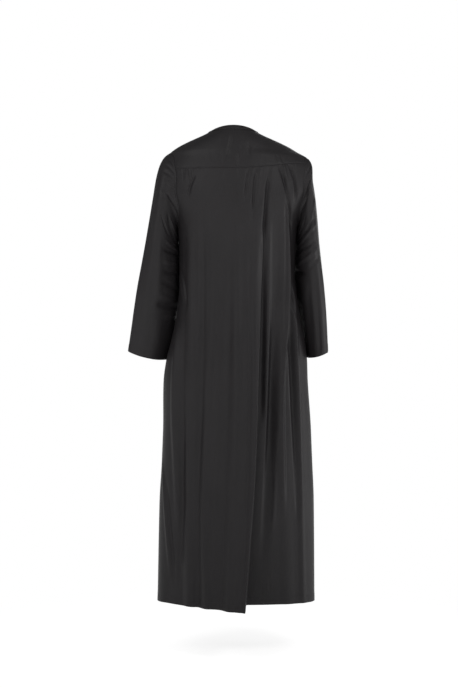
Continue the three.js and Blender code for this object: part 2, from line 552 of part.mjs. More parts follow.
// Rows of a sleeve. The first is the armhole itself, and the rings' own form takes over below it.
function sleeveGrid(armhole, rings, folds, backTurns) {
  const frontTurns = ARMHOLE_TURNS.slice(1, -1).reverse().map((turn) => 360 - turn);
  const all = backTurns.concat(frontTurns).map((turn) => turn * DEGREES);
  const plain = rings.map((ring) => all.map((turn) => sleeveRing(ring, turn)));
  const rest = plain[0].map((p, i) => armhole[i].clone().sub(p));
  const grid = plain.map((row, r) => {
    const fade = 1 - smoothstep(r / ARMHOLE_BLEND);
    return row.map((p, i) => p.clone().addScaledVector(rest[i], fade));
  });
  return grid.map((row, r) => {
    if (r === 0) return row;
    const share = r / (grid.length - 1);
    const middle = row.reduce((sum, p) => sum.add(p), new THREE.Vector3()).divideScalar(row.length);
    return row.map((p, i) => {
      const out = p.clone().sub(middle).normalize();
      const height = sleeveFold(folds, all[i] / DEGREES, share, p.distanceTo(middle));
      const point = p.clone().addScaledVector(out, height);
      point.z -= CUFF_DIP * share ** 3 * Math.max(0, Math.sin(all[i]));
      return point;
    });
  });
}

// Height of a sleeve's folds at a turn and a share of its length.
function sleeveFold(folds, turn, share, radius) {
  let height = 0;
  for (const f of folds) {
    if (share < f.top || share > f.low) continue;
    const u = (share - f.top) / (f.low - f.top);
    let away = turn - (f.round + f.turn * u);
    away -= 360 * Math.round(away / 360);
    const ends = Math.sin(Math.PI * u) ** 0.7;
    height += f.depth * (f.low === 1 ? smoothstep(u * 3) : ends) * bump((away * DEGREES * radius) / f.half);
  }
  return height;
}

// Edge points of the body round an armhole, from the shoulder tip down the back and up the front.
function armholePoints(yoke, panel, front, last) {
  const end = (row) => row[last ? row.length - 1 : 0];
  const tip = NECK_ROWS.length;
  const steps = ARMHOLE_TURNS.length - 1;
  const down = yoke.slice(tip).map(end).concat(panel.slice(1, steps - YOKE_TURNS + 1).map(end));
  const up = front.slice(tip + 1, tip + steps).map(end).reverse();
  return down.concat(up);
}

function buildPieces() {
  const { yoke, panel } = backGrids();
  const front = frontGrid();
  const pieces = {};
  const add = (name, grid, options) => {
    pieces[name] = startPiece(name);
    return addGrid(pieces[name], grid, options);
  };
  add("back_yoke", yoke, { flip: true });
  add("back_panel", panel, { flip: true });
  addFront(pieces, front);
  const leftHole = armholePoints(yoke, panel, front, true);
  const left = sleeveGrid(leftHole, LEFT_SLEEVE, LEFT_SLEEVE_FOLDS, ARMHOLE_TURNS);
  const rightHole = armholePoints(yoke, panel, front, false);
  const right = sleeveGrid(rightHole, RIGHT_SLEEVE, RIGHT_SLEEVE_FOLDS, BACK_RIGHT_TURNS);
  add("sleeve_left", left, { wrap: true });
  add("sleeve_right", right, { wrap: true, flip: true });
  seamNormals(Object.values(pieces));
  return { pieces, front, yoke };
}

// The first row of the front that the chest slit doesn't reach.
const slitRow = (front) => {
  const line = front.map((row) => row[FRONT_COLUMNS / 2].z);
  return line.findIndex((z) => z < line[0] - SLIT_LENGTH);
};

// The front panel in two halves that share their middle column below the chest slit.
function addFront(pieces, front) {
  const half = FRONT_COLUMNS / 2;
  pieces.front_panel = startPiece("front_panel");
  const right = addGrid(pieces.front_panel, front.map((row) => row.slice(0, half + 1)));
  addGrid(
    pieces.front_panel,
    front.map((row) => row.slice(half)),
    { taken: (r, c) => (c === 0 && r >= slitRow(front) ? right[r][half] : -1) },
  );
}

// A piece laid on others takes their points and outward directions.
function laidOn(name, grid, under) {
  const piece = startPiece(name);
  addGrid(piece, grid);
  piece.normals = [];
  piece.reach = [];
  for (const point of piece.points) {
    for (const lower of under) {
      const i = lower.points.findIndex((q) => q.distanceTo(point) < SEAM_GAP / 100);
      if (i < 0) continue;
      piece.normals.push(lower.normals[i]);
      piece.reach.push(lower.reach[i]);
      break;
    }
  }
  return piece;
}

// The placket covers the slit from the neck band to a little below it.
function placketPiece(front, pieces) {
  const half = FRONT_COLUMNS / 2;
  const grid = front.slice(1, slitRow(front) + 2).map((row) => row.slice(half - 1, half + 2));
  return laidOn("front_placket", grid, [pieces.front_panel]);
}

// The neck band runs from the slit round the wearer's left, over the nape and back to the slit.
function neckBandPiece(front, yoke, pieces) {
  const half = FRONT_COLUMNS / 2;
  const grid = [0, 1].map((r) => {
    const nape = yoke[r].slice().reverse();
    return front[r].slice(half, -1).concat(nape, front[r].slice(1, half + 1));
  });
  return laidOn("neck_band", grid, [pieces.front_panel, pieces.back_yoke]);
}

function meshOf(piece, lift = 0) {
  const look = { color: CLOTH_COLOUR, roughness: CLOTH_ROUGHNESS, metalness: 0 };
  const mesh = new THREE.Mesh(wallGeometry(piece, lift), new THREE.MeshStandardMaterial(look));
  mesh.name = piece.name;
  return mesh;
}

const garment = new THREE.Group();
const { pieces, front, yoke } = buildPieces();
for (const piece of Object.values(pieces)) garment.add(meshOf(piece));
garment.add(meshOf(placketPiece(front, pieces), CLOTH + SEAM_GAP));
garment.add(meshOf(neckBandPiece(front, yoke, pieces), CLOTH + SEAM_GAP));

export default garment;
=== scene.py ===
"""Looks of a collarless ankle-length djellaba that hangs as it is worn, with the arms down.

Each cloth piece is a thin shell on its solid's own form, with finer folds, creases, hems and stitching.
The tables are in millimetres in the part's frame: +Z up, the wearer faces -Y, +X is the wearer's left.
"""

import functools
import math

import bpy
import numpy as np
from bpy.props import FloatProperty, FloatVectorProperty, PointerProperty
from bpy.types import Operator, Panel, PropertyGroup
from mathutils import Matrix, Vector


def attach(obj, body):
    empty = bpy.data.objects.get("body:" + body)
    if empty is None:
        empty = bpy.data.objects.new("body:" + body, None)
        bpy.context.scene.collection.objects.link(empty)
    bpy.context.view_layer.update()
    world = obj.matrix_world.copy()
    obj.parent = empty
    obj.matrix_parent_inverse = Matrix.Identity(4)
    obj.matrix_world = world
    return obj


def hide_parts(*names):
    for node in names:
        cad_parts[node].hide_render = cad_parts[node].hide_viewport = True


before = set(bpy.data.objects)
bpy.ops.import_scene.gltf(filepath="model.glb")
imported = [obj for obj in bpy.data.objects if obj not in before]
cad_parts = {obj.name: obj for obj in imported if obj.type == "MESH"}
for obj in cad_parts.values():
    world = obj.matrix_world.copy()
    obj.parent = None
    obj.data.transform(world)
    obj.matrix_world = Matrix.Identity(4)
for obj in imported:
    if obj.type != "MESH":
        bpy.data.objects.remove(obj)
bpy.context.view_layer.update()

bl_info = {
    "name": "Collarless djellaba",
    "version": (1, 0, 0),
    "blender": (4, 5, 0),
    "location": "3D View > Sidebar > Robe",
    "description": "Builds the cloth, hems, stitching and stage of a worn ankle-length robe",
    "category": "Object",
}

MM = 0.001
BACK, FRONT = 1.0, -1.0
HEM_Z = -1401.0
SHOULDER_TIP_Z, UNDERARM_Z = -62.0, -285.0
ARMHOLE_REACH = {BACK: 72.0, FRONT: 62.0}
# How much the nape is raised, the level where that ends, how much the throat is lowered, and by which power.
NAPE_RISE, NAPE_FALL, NECK_DROP, NECK_POWER = 12.0, -118.0, 62.0, 1.5
# Level of the neck band's foot at the shoulder seams, and how much lower it lies at the nape and the throat.
BAND_ROW, BAND_ROW_NAPE, BAND_ROW_THROAT = -5.0, -5.0, -13.0
PLACKET_HALF = 17.0
SLIT_LENGTH = 245.0
# Where the yoke seam meets the armholes, in degrees round them from the shoulder tip.
YOKE_TURN_LEFT, YOKE_TURN_RIGHT = 60.0, 48.0
CUFF_DIP = 11.0
# The line down the middle of the front: its place at the neck, halfway and at the hem.
FRONT_CENTRE = (2.0, -8.0, -6.0)


def table(names, *rows):
    """A table as a dict of arrays, one per named column."""
    return dict(zip(names.split(), np.array(rows, float).T))


# The rings of the body at rest: level, half width, shift to the wearer's left, depth behind and before the
# shoulder seam, and the power of the arc, where 1 is an ellipse and less is squarer.
RINGS = table(
    "z wide shift back front round",
    (0, 65, 2, 60, 62, 1),
    (-14, 94, 3, 70, 68, 1),
    (-30, 131, 3, 79, 73, 1),
    (-46, 164, 2, 86, 77, 1),
    (-62, 189, 0, 92, 81, 1),
    (-80, 211, -14, 98, 87, 0.98),
    (-118, 231, -18, 109, 100, 0.95),
    (-172, 234, -18, 118, 117, 0.92),
    (-240, 200, -16, 121, 124, 0.9),
    (-262, 189, -13, 121, 125, 0.895),
    (-285, 181, -11, 121, 126, 0.89),
    (-312, 177, -10, 119, 126, 0.885),
    (-340, 175, -10, 117, 125, 0.88),
    (-420, 173, -9, 112, 121, 0.86),
    (-500, 178, -12, 110, 118, 0.84),
    (-560, 187, -13, 113, 119, 0.83),
    (-620, 199, -12, 117, 121, 0.82),
    (-684, 211, -8, 120, 124, 0.81),
    (-744, 216, -5, 122, 127, 0.8),
    (-900, 222, -9, 118, 134, 0.78),
    (-1000, 226, -9, 115, 138, 0.76),
    (-1100, 231, -8, 112, 142, 0.74),
    (HEM_Z, 235, -6, 106, 152, 0.7),
)

# The deep fold down the back: place and height of its edge, width of the slope up to it, and width of the
# drop beyond it.
DEEP_FOLD = table(
    "z x depth rise drop",
    (-130, -90, 0, 76, 8),
    (-200, -88, 1, 80, 7),
    (-300, -86, 3, 92, 6),
    (-430, -82, 8, 100, 5),
    (-508, -77, 15, 108, 5),
    (-575, -74, 21, 116, 5),
    (-653, -70, 29, 124, 6),
    (-798, -63, 45, 146, 7),
    (-941, -57, 62, 168, 8),
    (-1084, -49, 81, 192, 9),
    (-1225, -38, 103, 212, 10),
    (HEM_Z, -26, 127, 235, 10),
)
DEEP_FOLD_POWER = 1.3

# Long folds. x1 to x5 and d1 to d5: place and height at the five stations, negative heights for troughs.
# left, right: how far it spreads to each side. sharp: 0 for a soft fold and 1 for one with a crisp crest.
STATIONS = np.array((-200.0, -500.0, -800.0, -1100.0, HEM_Z))
LONG_FOLDS = table(
    "side top low x1 x2 x3 x4 x5 d1 d2 d3 d4 d5 left right sharp",
    (BACK, -540, -1200, 160, 166, 179, 167, 160, 0, 2, 6, 6, 2, 16, 18, 0.2),
    (BACK, -560, -1350, 146, 147, 153, 150, 160, 0, -2, -5, -6, -5, 16, 14, 0),
    (BACK, -220, -1401, 128, 129, 123, 135, 123, 2, 4, 4, 5, 6, 24, 20, 0),
    (BACK, -200, -1401, 92, 91, 97, 103, 98, -2, -4, -5, -5, -6, 16, 14, 0.2),
    (BACK, -230, -1401, 63, 62, 77, 88, 74, 2, 3, 4, 5, 6, 17, 17, 0.2),
    (BACK, -230, -1401, 24, 24, 24, 30, 38, -2, -4, -6, -7, -8, 30, 26, 0),
    (BACK, -230, -1401, -6, -8, -2, 6, 15, 2, 4, 5, 5, 6, 20, 20, 0),
    (BACK, -300, -1401, -46, -47, -43, -34, -20, -1, -2, -3.5, -4, -3, 8, 8, 0.2),
    (BACK, -180, -900, -92, -87, -80, -76, -63, 0, -12, -10, -3, 0, 26, 14, 0.1),
    (BACK, -200, -1401, -109, -106, -88, -70, -47, 0, 1, 2, 1, 0, 18, 20, 0.1),
    (BACK, -190, -1330, -116, -114, -107, -92, -76, -2, -5, -12, -5, -1, 12, 26, 0),
    (BACK, -200, -640, -152, -146, -142, -142, -142, -3, -3, 0, 0, 0, 7, 6, 0.1),
    (BACK, -170, -1180, -157, -155, -140, -146, -158, 6, 18, 18, 6, 0, 36, 10, 0.4),
    (BACK, -560, -1180, -164, -163, -174, -188, -192, 0, -6, -9, -4, -1, 13, 16, 0.1),
    (BACK, -400, -1401, -166, -174, -188, -197, -205, 5, 13, 10, 7, 3, 16, 16, 0.3),
    (BACK, -860, -1401, -150, -150, -150, -152, -158, 0, 0, 1, 2, 3, 26, 26, 0.1),
    (FRONT, -300, -1401, 96, 100, 104, 116, 128, 3, 8, 13, 21, 30, 46, 46, 0),
    (FRONT, -380, -1401, 48, 48, 52, 58, 66, -1, -5, -9, -13, -16, 34, 34, 0),
    (FRONT, -520, -1401, 8, 6, 2, 6, 12, 0, 3, 9, 15, 20, 36, 36, 0),
    (FRONT, -420, -1401, -40, -42, -50, -50, -48, 0, -4, -8, -11, -14, 32, 32, 0),
    (FRONT, -290, -1401, -92, -100, -106, -110, -112, 3, 8, 14, 24, 34, 44, 44, 0),
    (FRONT, -620, -1401, -160, -160, -168, -172, -176, 0, -2, -8, -9, -10, 26, 26, 0),
    (FRONT, -640, -1401, 158, 158, 166, 174, 182, 0, -2, -7, -8, -9, 26, 26, 0),
    (FRONT, -700, -1401, 132, 132, 136, 150, 160, 0, 0, -3, -4, -5, 12, 14, 0.2),
    (FRONT, -640, -1401, 78, 78, 78, 88, 94, 0, 0, 3, 4, 6, 12, 16, 0.2),
    (FRONT, -760, -1401, -74, -74, -76, -80, -82, 0, 0, -3, -6, -8, 12, 14, 0.2),
    (FRONT, -860, -1401, -138, -138, -140, -140, -148, 0, 0, -3, -5, -6, 14, 12, 0.2),
    (FRONT, -320, -1000, -20, -18, -20, -26, -30, 1, 3, 2, 0, 0, 16, 16, 0.2),
)

# Short creases on the body. x1, x2, x3: place at the top, halfway and at the foot.
CREASES = table(
    "side top low x1 x2 x3 depth left right sharp",
    (BACK, -116, -222, -46, -36, -34, -4.4, 6, 5, 0.5),
    (BACK, -116, -275, -66, -57, -54, -5.2, 7, 6, 0.5),
    (BACK, -116, -215, -78, -72, -70, 2.0, 8, 8, 0.2),
    (BACK, -116, -360, -104, -93, -88, -8.0, 11, 10, 0.3),
    (BACK, -98, -330, -127, -160, -168, -7.0, 9, 8, 0.4),
    (BACK, -98, -225, -156, -180, -179, -6.6, 9, 7, 0.4),
    (BACK, -98, -190, -142, -153, -157, 2.6, 7, 8, 0.2),
    (BACK, -135, -205, 112, 129, 137, -6.5, 7, 8, 0.5),
    (BACK, -118, -156, 152, 150, 151, -1.6, 4, 4, 0.5),
    (BACK, -118, -150, 138, 136, 137, -1.6, 4, 4, 0.5),
    (BACK, -118, -162, 126, 128, 131, -1.8, 4, 4, 0.5),
    (BACK, -22, -98, 6, 15, 24, -1.9, 7, 6, 0.3),
    (BACK, -74, -150, -10, -13, -18, -2.2, 5, 3, 0.7),
    (BACK, -44, -88, -47, -44, -43, -1.2, 7, 5, 0.3),
    (BACK, -66, -106, -122, -126, -129, -1.4, 5, 4, 0.4),
    (BACK, -70, -108, -136, -140, -143, -1.4, 5, 4, 0.4),
    (BACK, -385, -540, 167, 147, 138, -5.0, 8, 9, 0.5),
    (BACK, -380, -520, 174, 160, 150, 3.0, 8, 7, 0.4),
    (BACK, -450, -600, -164, -172, -190, -5.0, 8, 9, 0.5),
    (BACK, -960, -1350, 214, 202, 184, 4.0, 10, 11, 0.4),
    (BACK, -1020, -1360, 202, 188, 172, -4.0, 10, 10, 0.2),
    (BACK, -1000, -1200, -120, -118, -112, 2.0, 8, 8, 0.3),
    (FRONT, -74, -180, 120, 128, 140, -2.6, 9, 7, 0.3),
    (FRONT, -74, -190, -130, -142, -152, -2.6, 7, 9, 0.3),
    (FRONT, -110, -230, 150, 140, 128, -2.4, 9, 8, 0.3),
    (FRONT, -110, -240, -164, -150, -138, -2.4, 8, 9, 0.3),
    (FRONT, -250, -420, 120, 100, 86, -2.6, 10, 9, 0.3),
    (FRONT, -250, -430, -140, -118, -98, -2.6, 9, 10, 0.3),
    (FRONT, -380, -520, 150, 128, 116, -3.0, 9, 9, 0.3),
    (FRONT, -390, -540, -166, -146, -132, -3.0, 9, 9, 0.3),
)

# Gathers let into the yoke seam: where the group lies along the seam, how many, how high and how long.
GATHERS = table(
    "start end count depth length",
    (170, 98, 9, 0.6, 40),
    (60, -20, 6, 0.3, 40),
    (-28, -190, 15, 0.5, 45),
)
# Length of the rise from the seam, half width as a share of the pitch, and sharpness.
GATHER_RISE, GATHER_HALF, GATHER_SHARP = 5.0, 0.6, 0.2
# How much the gathers vary in height, length and place, and how fast the height and the length vary.
UNEVEN_HEIGHT, UNEVEN_LENGTH, UNEVEN_PLACE = 0.45, 0.4, 0.2
HEIGHT_WAVE, LENGTH_WAVE = 2.4, 1.7

# The sleeves from armhole to cuff: outer and inner edge, place of the middle behind the shoulder seam,
# half the depth, and how much further back the inner edge lies, below 0 where it lies further forward.
SLEEVES = {
    "left": table(
        "ring outX outZ inX inZ middle deep lean",
        (0, 189, -62, 170, -285, 5, 67, 0),
        (1, 207, -76, 170, -289, 9, 71, -16),
        (2, 221, -100, 170, -296, 14, 76, -32),
        (3, 233, -144, 168, -308, 19, 80, -46),
        (4, 242, -204, 168, -324, 22, 81, -56),
        (5, 252, -268, 165, -346, 25, 80, -64),
        (6, 263, -334, 164, -378, 27, 77, -68),
        (7, 275, -400, 163, -424, 28, 72, -70),
        (8, 287, -464, 164, -480, 28, 66, -70),
        (9, 297, -528, 173, -542, 25, 59, -68),
        (10, 306, -590, 182, -606, 20, 52, -64),
        (11, 316, -655, 199, -680, 14, 46, -60),
    ),
    "right": table(
        "ring outX outZ inX inZ middle deep lean",
        (0, -189, -62, -192, -285, 5, 67, 0),
        (1, -211, -76, -191.5, -289, 9, 71, -16),
        (2, -226, -100, -190.5, -296, 14, 76, -32),
        (3, -234, -144, -187.5, -308, 19, 81, -46),
        (4, -243, -204, -186.5, -324, 22, 83, -56),
        (5, -249, -268, -187, -346, 25, 83, -64),
        (6, -254, -334, -184, -378, 27, 82, -68),
        (7, -261, -400, -183, -424, 28, 80, -70),
        (8, -268, -464, -187, -480, 28, 76, -70),
        (9, -274, -528, -197, -540, 25, 72, -68),
        (10, -278, -590, -208, -602, 20, 68, -64),
        (11, -281, -654, -217, -672, 14, 64, -60),
    ),
}
LAST_RING = 11.0

# Folds of the sleeves, each along a straight line on the opened sleeve. t1, a1, t2, a2: share of the length
# and degrees round the ring (0 the outer edge, 90 behind, 180 the inner edge) of its two ends.
SLEEVE_FOLDS = {
    "left": table(
        "t1 a1 t2 a2 depth half sharp",
        (0.14, 35, 0.0, 74, -2.6, 7, 0.4),
        (0.19, 40, 0.0, 94, -3.0, 7, 0.4),
        (0.19, 60, 0.0, 106, -2.6, 6, 0.4),
        (0.28, 57, 0.02, 150, -3.4, 9, 0.4),
        (0.10, 20, 0.02, 52, -2.0, 6, 0.4),
        (0.10, 350, 0.01, 24, -1.8, 6, 0.4),
        (0.31, 104, 0.46, 152, -7.0, 13, 0.3),
        (0.30, 116, 0.38, 168, 4.0, 9, 0.4),
        (0.36, 70, 0.44, 110, -2.6, 10, 0.2),
        (0.49, 104, 0.50, 156, 4.0, 10, 0.3),
        (0.54, 98, 0.53, 160, -6.5, 10, 0.3),
        (0.60, 100, 0.585, 150, 3.0, 9, 0.2),
        (0.645, 102, 0.64, 156, -6.0, 10, 0.3),
        (0.69, 102, 0.725, 164, -5.0, 11, 0.2),
        (0.75, 96, 0.77, 150, 3.0, 10, 0.2),
        (0.785, 92, 0.80, 168, -6.0, 12, 0.2),
        (0.84, 118, 0.82, 172, 5.0, 8, 0.4),
        (0.84, 100, 1.06, 112, 2.0, 24, 0.1),
        (0.84, 138, 1.06, 146, -3.0, 26, 0.0),
        (0.50, 78, 0.80, 92, 3.0, 20, 0.1),
        (0.30, 20, 1.06, 14, 2.0, 26, 0.0),
        (0.46, 40, 1.06, 48, -3.0, 30, 0.0),
        (0.20, 250, 0.46, 215, -5.0, 14, 0.3),
        (0.44, 270, 0.50, 200, -5.0, 11, 0.3),
        (0.56, 280, 0.60, 205, -6.0, 12, 0.2),
        (0.66, 272, 0.74, 200, -5.0, 14, 0.2),
        (0.72, 310, 1.06, 300, 3.0, 24, 0.1),
        (0.10, 330, 0.0, 290, -2.4, 7, 0.4),
        (0.16, 310, 0.0, 268, -2.4, 7, 0.4),
    ),
    "right": table(
        "t1 a1 t2 a2 depth half sharp",
        (0.14, 36, 0.0, 78, -2.6, 7, 0.4),
        (0.10, 12, 0.02, 46, -2.4, 6, 0.4),
        (0.20, 55, 0.02, 112, -3.0, 8, 0.4),
        (0.28, 60, 0.06, 140, -3.2, 9, 0.3),
        (0.10, 350, 0.01, 22, -1.8, 6, 0.4),
        (0.40, 66, 0.35, 30, 4.0, 8, 0.4),
        (0.43, 48, 0.42, 160, -5.5, 9, 0.3),
        (0.455, 36, 0.475, 168, 5.0, 9, 0.4),
        (0.53, 54, 0.515, 154, -5.5, 10, 0.3),
        (0.565, 44, 0.60, 156, 5.0, 10, 0.4),
        (0.60, 40, 0.63, 90, -3.6, 9, 0.2),
        (0.62, 172, 0.65, 114, -9.0, 11, 0.3),
        (0.34, 100, 0.40, 168, -5.0, 12, 0.3),
        (0.68, 108, 1.04, 150, 4.0, 20, 0.1),
        (0.68, 150, 1.04, 160, -3.0, 22, 0.0),
        (0.66, 66, 1.06, 84, -4.0, 24, 0.0),
        (0.62, 24, 1.06, 34, 3.0, 16, 0.2),
        (0.20, 250, 0.46, 215, -5.0, 14, 0.3),
        (0.44, 280, 0.50, 200, -5.0, 11, 0.3),
        (0.55, 270, 0.60, 205, -6.0, 12, 0.2),
        (0.66, 276, 0.74, 200, -5.0, 14, 0.2),
        (0.74, 310, 1.06, 296, 3.0, 22, 0.1),
        (0.10, 330, 0.0, 290, -2.4, 7, 0.4),
        (0.16, 310, 0.0, 268, -2.4, 7, 0.4),
    ),
}
SLEEVE_LENGTH = 620.0

# How many rows and columns each part of the cloth has, and the level where the lowered neckline runs out.
BACK_COLUMNS, FRONT_COLUMNS, PLACKET_COLUMNS = 264, 200, 4
BAND_STEPS, NECK_STEPS, NECK_FOOT = 4, 6, -25.0
YOKE_ROWS, ARMHOLE_ROWS, FRONT_ARM_ROWS, SKIRT_ROWS = 14, 34, 40, 118
SLEEVE_ROWS, SLEEVE_COLUMNS = 132, 112
PLACKET_FOOT_ROWS = 3
# Where closer rows stand next to a seam or a hem, in shares of the first row's distance.
CLOSE_ROWS = (0.15, 0.35, 0.6)

# A row of a panel: its fine points, those of the part that an armhole cuts away, the zone beside the armhole
# where columns are drawn in, and the zone along the edges where folds fade out.
FINE, CUT_STEPS, DRAW_ZONE, EDGE_FADE = 1400, 40, 80.0, 26.0
# How far the columns follow the folds, and how much closer they stand at the drop of the deep fold.
FOLD_SHARE, DROP_CROWD = 0.6, 1.2
# Steps over which a panel's slope is measured, across as a share of half its width and down in millimetres.
ACROSS_STEP, DOWN_STEP = 0.004, 1.5

# A long fold fades over a sixth of its length at its top, and at its foot where that is above the hem. A
# crease fades over a quarter at its top and a third at its foot. A crisp crest follows this power.
FOLD_FADE, CREASE_TOP_FADE, CREASE_FOOT_FADE = 6.0, 4.0, 3.0
CRISP_POWER = 1.7

# The sleeves: the armhole's shape gives way over four rings, the folds begin over a 24th of the length, and
# a fold's ends have a fifth of its height.
BLEND_RINGS, SLEEVE_FOLD_START, FOLD_END_HEIGHT = 4.0, 24.0, 0.2
# Where a sleeve rests against the body: how much flatter its folds are, the reach in degrees, and the rise.
PRESSED_SHARE, PRESSED_REACH, PRESSED_RISE = 0.9, 24.0, 2.2

# Seams, and the zone at the shoulder tips where their way turns. Then the turned hems and their stitching.
SEAM_SINK, SEAM_REACH, TIP_ZONE = 0.6, 2.2, 20.0
TURN_UP, TURN_UP_RISE, TURN_UP_EDGE = 20.0, 0.5, 3.0
STITCH_SINK, STITCH_REACH = 0.35, 1.6
LAID_HEIGHT = 1.6
SLIT_GAP = 0.3
# Distances of the stitch lines from the edges.
YOKE_STITCH, BAND_STITCH, PLACKET_STITCH, PLACKET_BAR = 3.0, 1.8, 2.0, 18.0
# A stitch's rings: place from one end, -1, to the other, 1, and radius as a share of the thread's.
STITCH_RINGS = table("t r", (-1, 0.3), (-0.8, 0.8), (-0.35, 1), (0.35, 1), (0.8, 0.8), (1, 0.3))
STITCH_SIDES = 6
STITCH_END_FACES = ([0, 1, 2, 3], [0, 3, 4, 5])
# How high the middle of a stitch stands, and how much lower its ends lie, in the thread's radii.
STITCH_LIFT, STITCH_DIP = 0.7, 1.1

# The cloth's finish. Scales are per metre, and the three bumps are heights in metres.
WEAVE = {"Scale": 620.0, "Distortion": 0.6, "Detail": 1.0, "Detail Scale": 2.0}
SLUB_ACROSS, SLUB_ALONG = 1800.0, 60.0
PATCH_SCALE, PATCH_LOW, PATCH_HIGH = 9.0, 0.3, 0.7
CREASE_SCALES, FINE_CREASE_SCALES = (42.0, 42.0, 15.0), (150.0, 150.0, 60.0)
# The weave's share paints light on the threads' crowns and shade between them; slubs and patches add random
# tone.
WEAVE_LIGHT_AND_SHADE, SLUB_TONE, CROSS_SLUB_TONE, PATCH_TONE = 0.35, 0.25, 0.2, 0.2
CLOTH_ROUGHNESS, PATCH_ROUGHNESS, CLOTH_SPECULAR = 0.52, 0.03, 0.28
CLOTH_SHEEN, SHEEN_ROUGHNESS = 0.03, 0.5
CREASE_BUMP, FINE_CREASE_BUMP, THREAD_BUMP = 0.0012, 0.00022, 0.00006
THREAD_BUMP_STRENGTH, SLUB_BUMP = 0.5, 0.5

# The sewing thread's finish: the ply's scale and how much darker the painted shade between the plies is.
PLY_SCALE, PLY_SHADE = 900.0, 0.55
THREAD_ROUGHNESS, THREAD_SPECULAR = 0.55, 0.3

# The studio, in metres. The camera is level and looks at the back.
CAMERA_PLACE = (0.015, 4.5, -0.636)
CAMERA_LENS = 78.49
FLOOR_Z = -1.557
WHITE = (1.0, 1.0, 1.0, 1.0)
FLOOR_RADIUS, DOME_RADIUS, ROUND_POINTS, DOME_ROWS = 30.0, 32.0, 64, 25
# How far from the middle the floor begins to turn white, and where it is white.
FLOOR_PLAIN, FLOOR_WHITE = 0.35, 1.1
FLOOR_ROUGHNESS, FLOOR_SPECULAR, GRAIN_SCALE, GRAIN_SHADE = 0.8, 0.1, 60.0, 0.985
# The sheet that is seen on the floor: its height above the floor, its radius and its own glow.
SHEET_LIFT, SHEET_RADIUS, SHEET_GLOW = 0.002, 6.0, 0.72
# Each light's name, place, the point that it is turned to, size and watts.
LIGHTS = (
    ("key_light", (-1.72, 2.98, 1.81), (0, 0, -0.6), 1.4, 31.0),
    ("fill_light", (2.12, 2.71, 1.81), (0, 0, -0.7), 2.0, 34.0),
    ("front_light", (-1.6, -3.3, 0.8), (0, 0, -0.7), 2.0, 20.0),
    ("side_light", (-4.1, 0.5, -0.6), (0, 0, -0.7), 1.0, 36.0),
)
WORLD_LIGHT = 0.18
LIGHT_BOUNCES = 8


def smoothstep(u):
    """A soft step from 0 to 1: 3 u squared less 2 u cubed between the two."""
    c = np.clip(u, 0.0, 1.0)
    return c * c * (3 - 2 * c)


def along(rows, key, column, at):
    """Value of a table's column along a smooth curve that never overshoots its rows (monotone cubic)."""
    x, y, at = rows[key], rows[column], np.asarray(at, float)
    if x[-1] < x[0]:
        x, at = -x, -at
    step = np.diff(x)
    slope = np.diff(y) / step
    both = slope[:-1] * slope[1:]
    inner = np.where(both > 0, 2 * both / np.where(both > 0, slope[:-1] + slope[1:], 1), 0)
    tangent = np.concatenate([slope[:1], inner, slope[-1:]])
    p = np.clip(at, x[0], x[-1])
    i = np.clip(np.searchsorted(x, p, "right") - 1, 0, len(x) - 2)
    u, h = (p - x[i]) / step[i], step[i]
    return (
        y[i] * (1 + 2 * u) * (1 - u) ** 2
        + tangent[i] * h * u * (1 - u) ** 2
        + y[i + 1] * u * u * (3 - 2 * u)
        + tangent[i + 1] * h * u * u * (u - 1)
    )


def through(a, b, c, u):
    """The curve through three values at 0, a half and 1."""
    return a * (1 - u) * (1 - 2 * u) + 4 * b * u * (1 - u) + c * u * (2 * u - 1)


def profile(u, sharp):
    """Cross-section of a fold: 1 at its middle, 0 one half width out, with a round or a crisp crest."""
    r = np.minimum(np.abs(u), 1.0)
    return (1 - sharp) * (1 - r * r) ** 2 + sharp * (1 - r) ** CRISP_POWER


def turn_level(turn):
    """Level on the armhole at an angle from its top."""
    return SHOULDER_TIP_Z + (UNDERARM_Z - SHOULDER_TIP_Z) * (1 - np.cos(np.radians(turn))) / 2


def armhole_reach(side, z):
    """How far an armhole bows out from the shoulder line: half an ellipse from the tip to the underarm."""
    q = (z - SHOULDER_TIP_Z) / (UNDERARM_Z - SHOULDER_TIP_Z)
    return ARMHOLE_REACH[side] * np.sqrt(np.clip(1 - (2 * q - 1) ** 2, 0, None))


def edge_angle(side, z):
    """Angle at which a ring meets the armhole or the side seam."""
    depth = along(RINGS, "z", "back" if side == BACK else "front", z)
    return np.arccos((armhole_reach(side, z) / depth) ** (1 / along(RINGS, "z", "round", z)))


def ring_point(side, angle, z):
    """The unfolded body: x = shift + wide sin(angle), y = depth cos(angle)^round, z + lift cos(angle)^2.

    The lift raises the nape and lowers the throat.
    """
    depth = along(RINGS, "z", "back" if side == BACK else "front", z)
    fall = np.clip(1 - z / (NAPE_FALL if side == BACK else UNDERARM_Z), 0, None)
    lift = NAPE_RISE * fall**2 if side == BACK else -NECK_DROP * fall**NECK_POWER
    c = np.clip(np.cos(angle), 0, None)
    x = along(RINGS, "z", "shift", z) + along(RINGS, "z", "wide", z) * np.sin(angle)
    return np.stack([x, side * depth * c ** along(RINGS, "z", "round", z), z + lift * c**2], -1)


def body_point(side, across, z):
    """A point of a panel: across runs from -1 at its right edge to 1 at its left."""
    return ring_point(side, across * edge_angle(side, z), z)


def body_normal(side, across, z):
    """The unfolded panel's unit normal: the cross product of a small step across and one down."""
    c = np.clip(across, ACROSS_STEP - 1, 1 - ACROSS_STEP)
    lower, upper = np.maximum(z - DOWN_STEP, HEM_Z), np.minimum(z + DOWN_STEP, 0)
    sideways = body_point(side, c + ACROSS_STEP, z) - body_point(side, c - ACROSS_STEP, z)
    down = body_point(side, c, lower) - body_point(side, c, upper)
    n = side * np.cross(sideways, down)
    return n / np.linalg.norm(n, axis=-1, keepdims=True)


def each_row(at, x, y):
    """Reads y at places along x, row by row."""
    return np.stack([np.interp(a, p, q) for a, p, q in zip(at, x, y)])


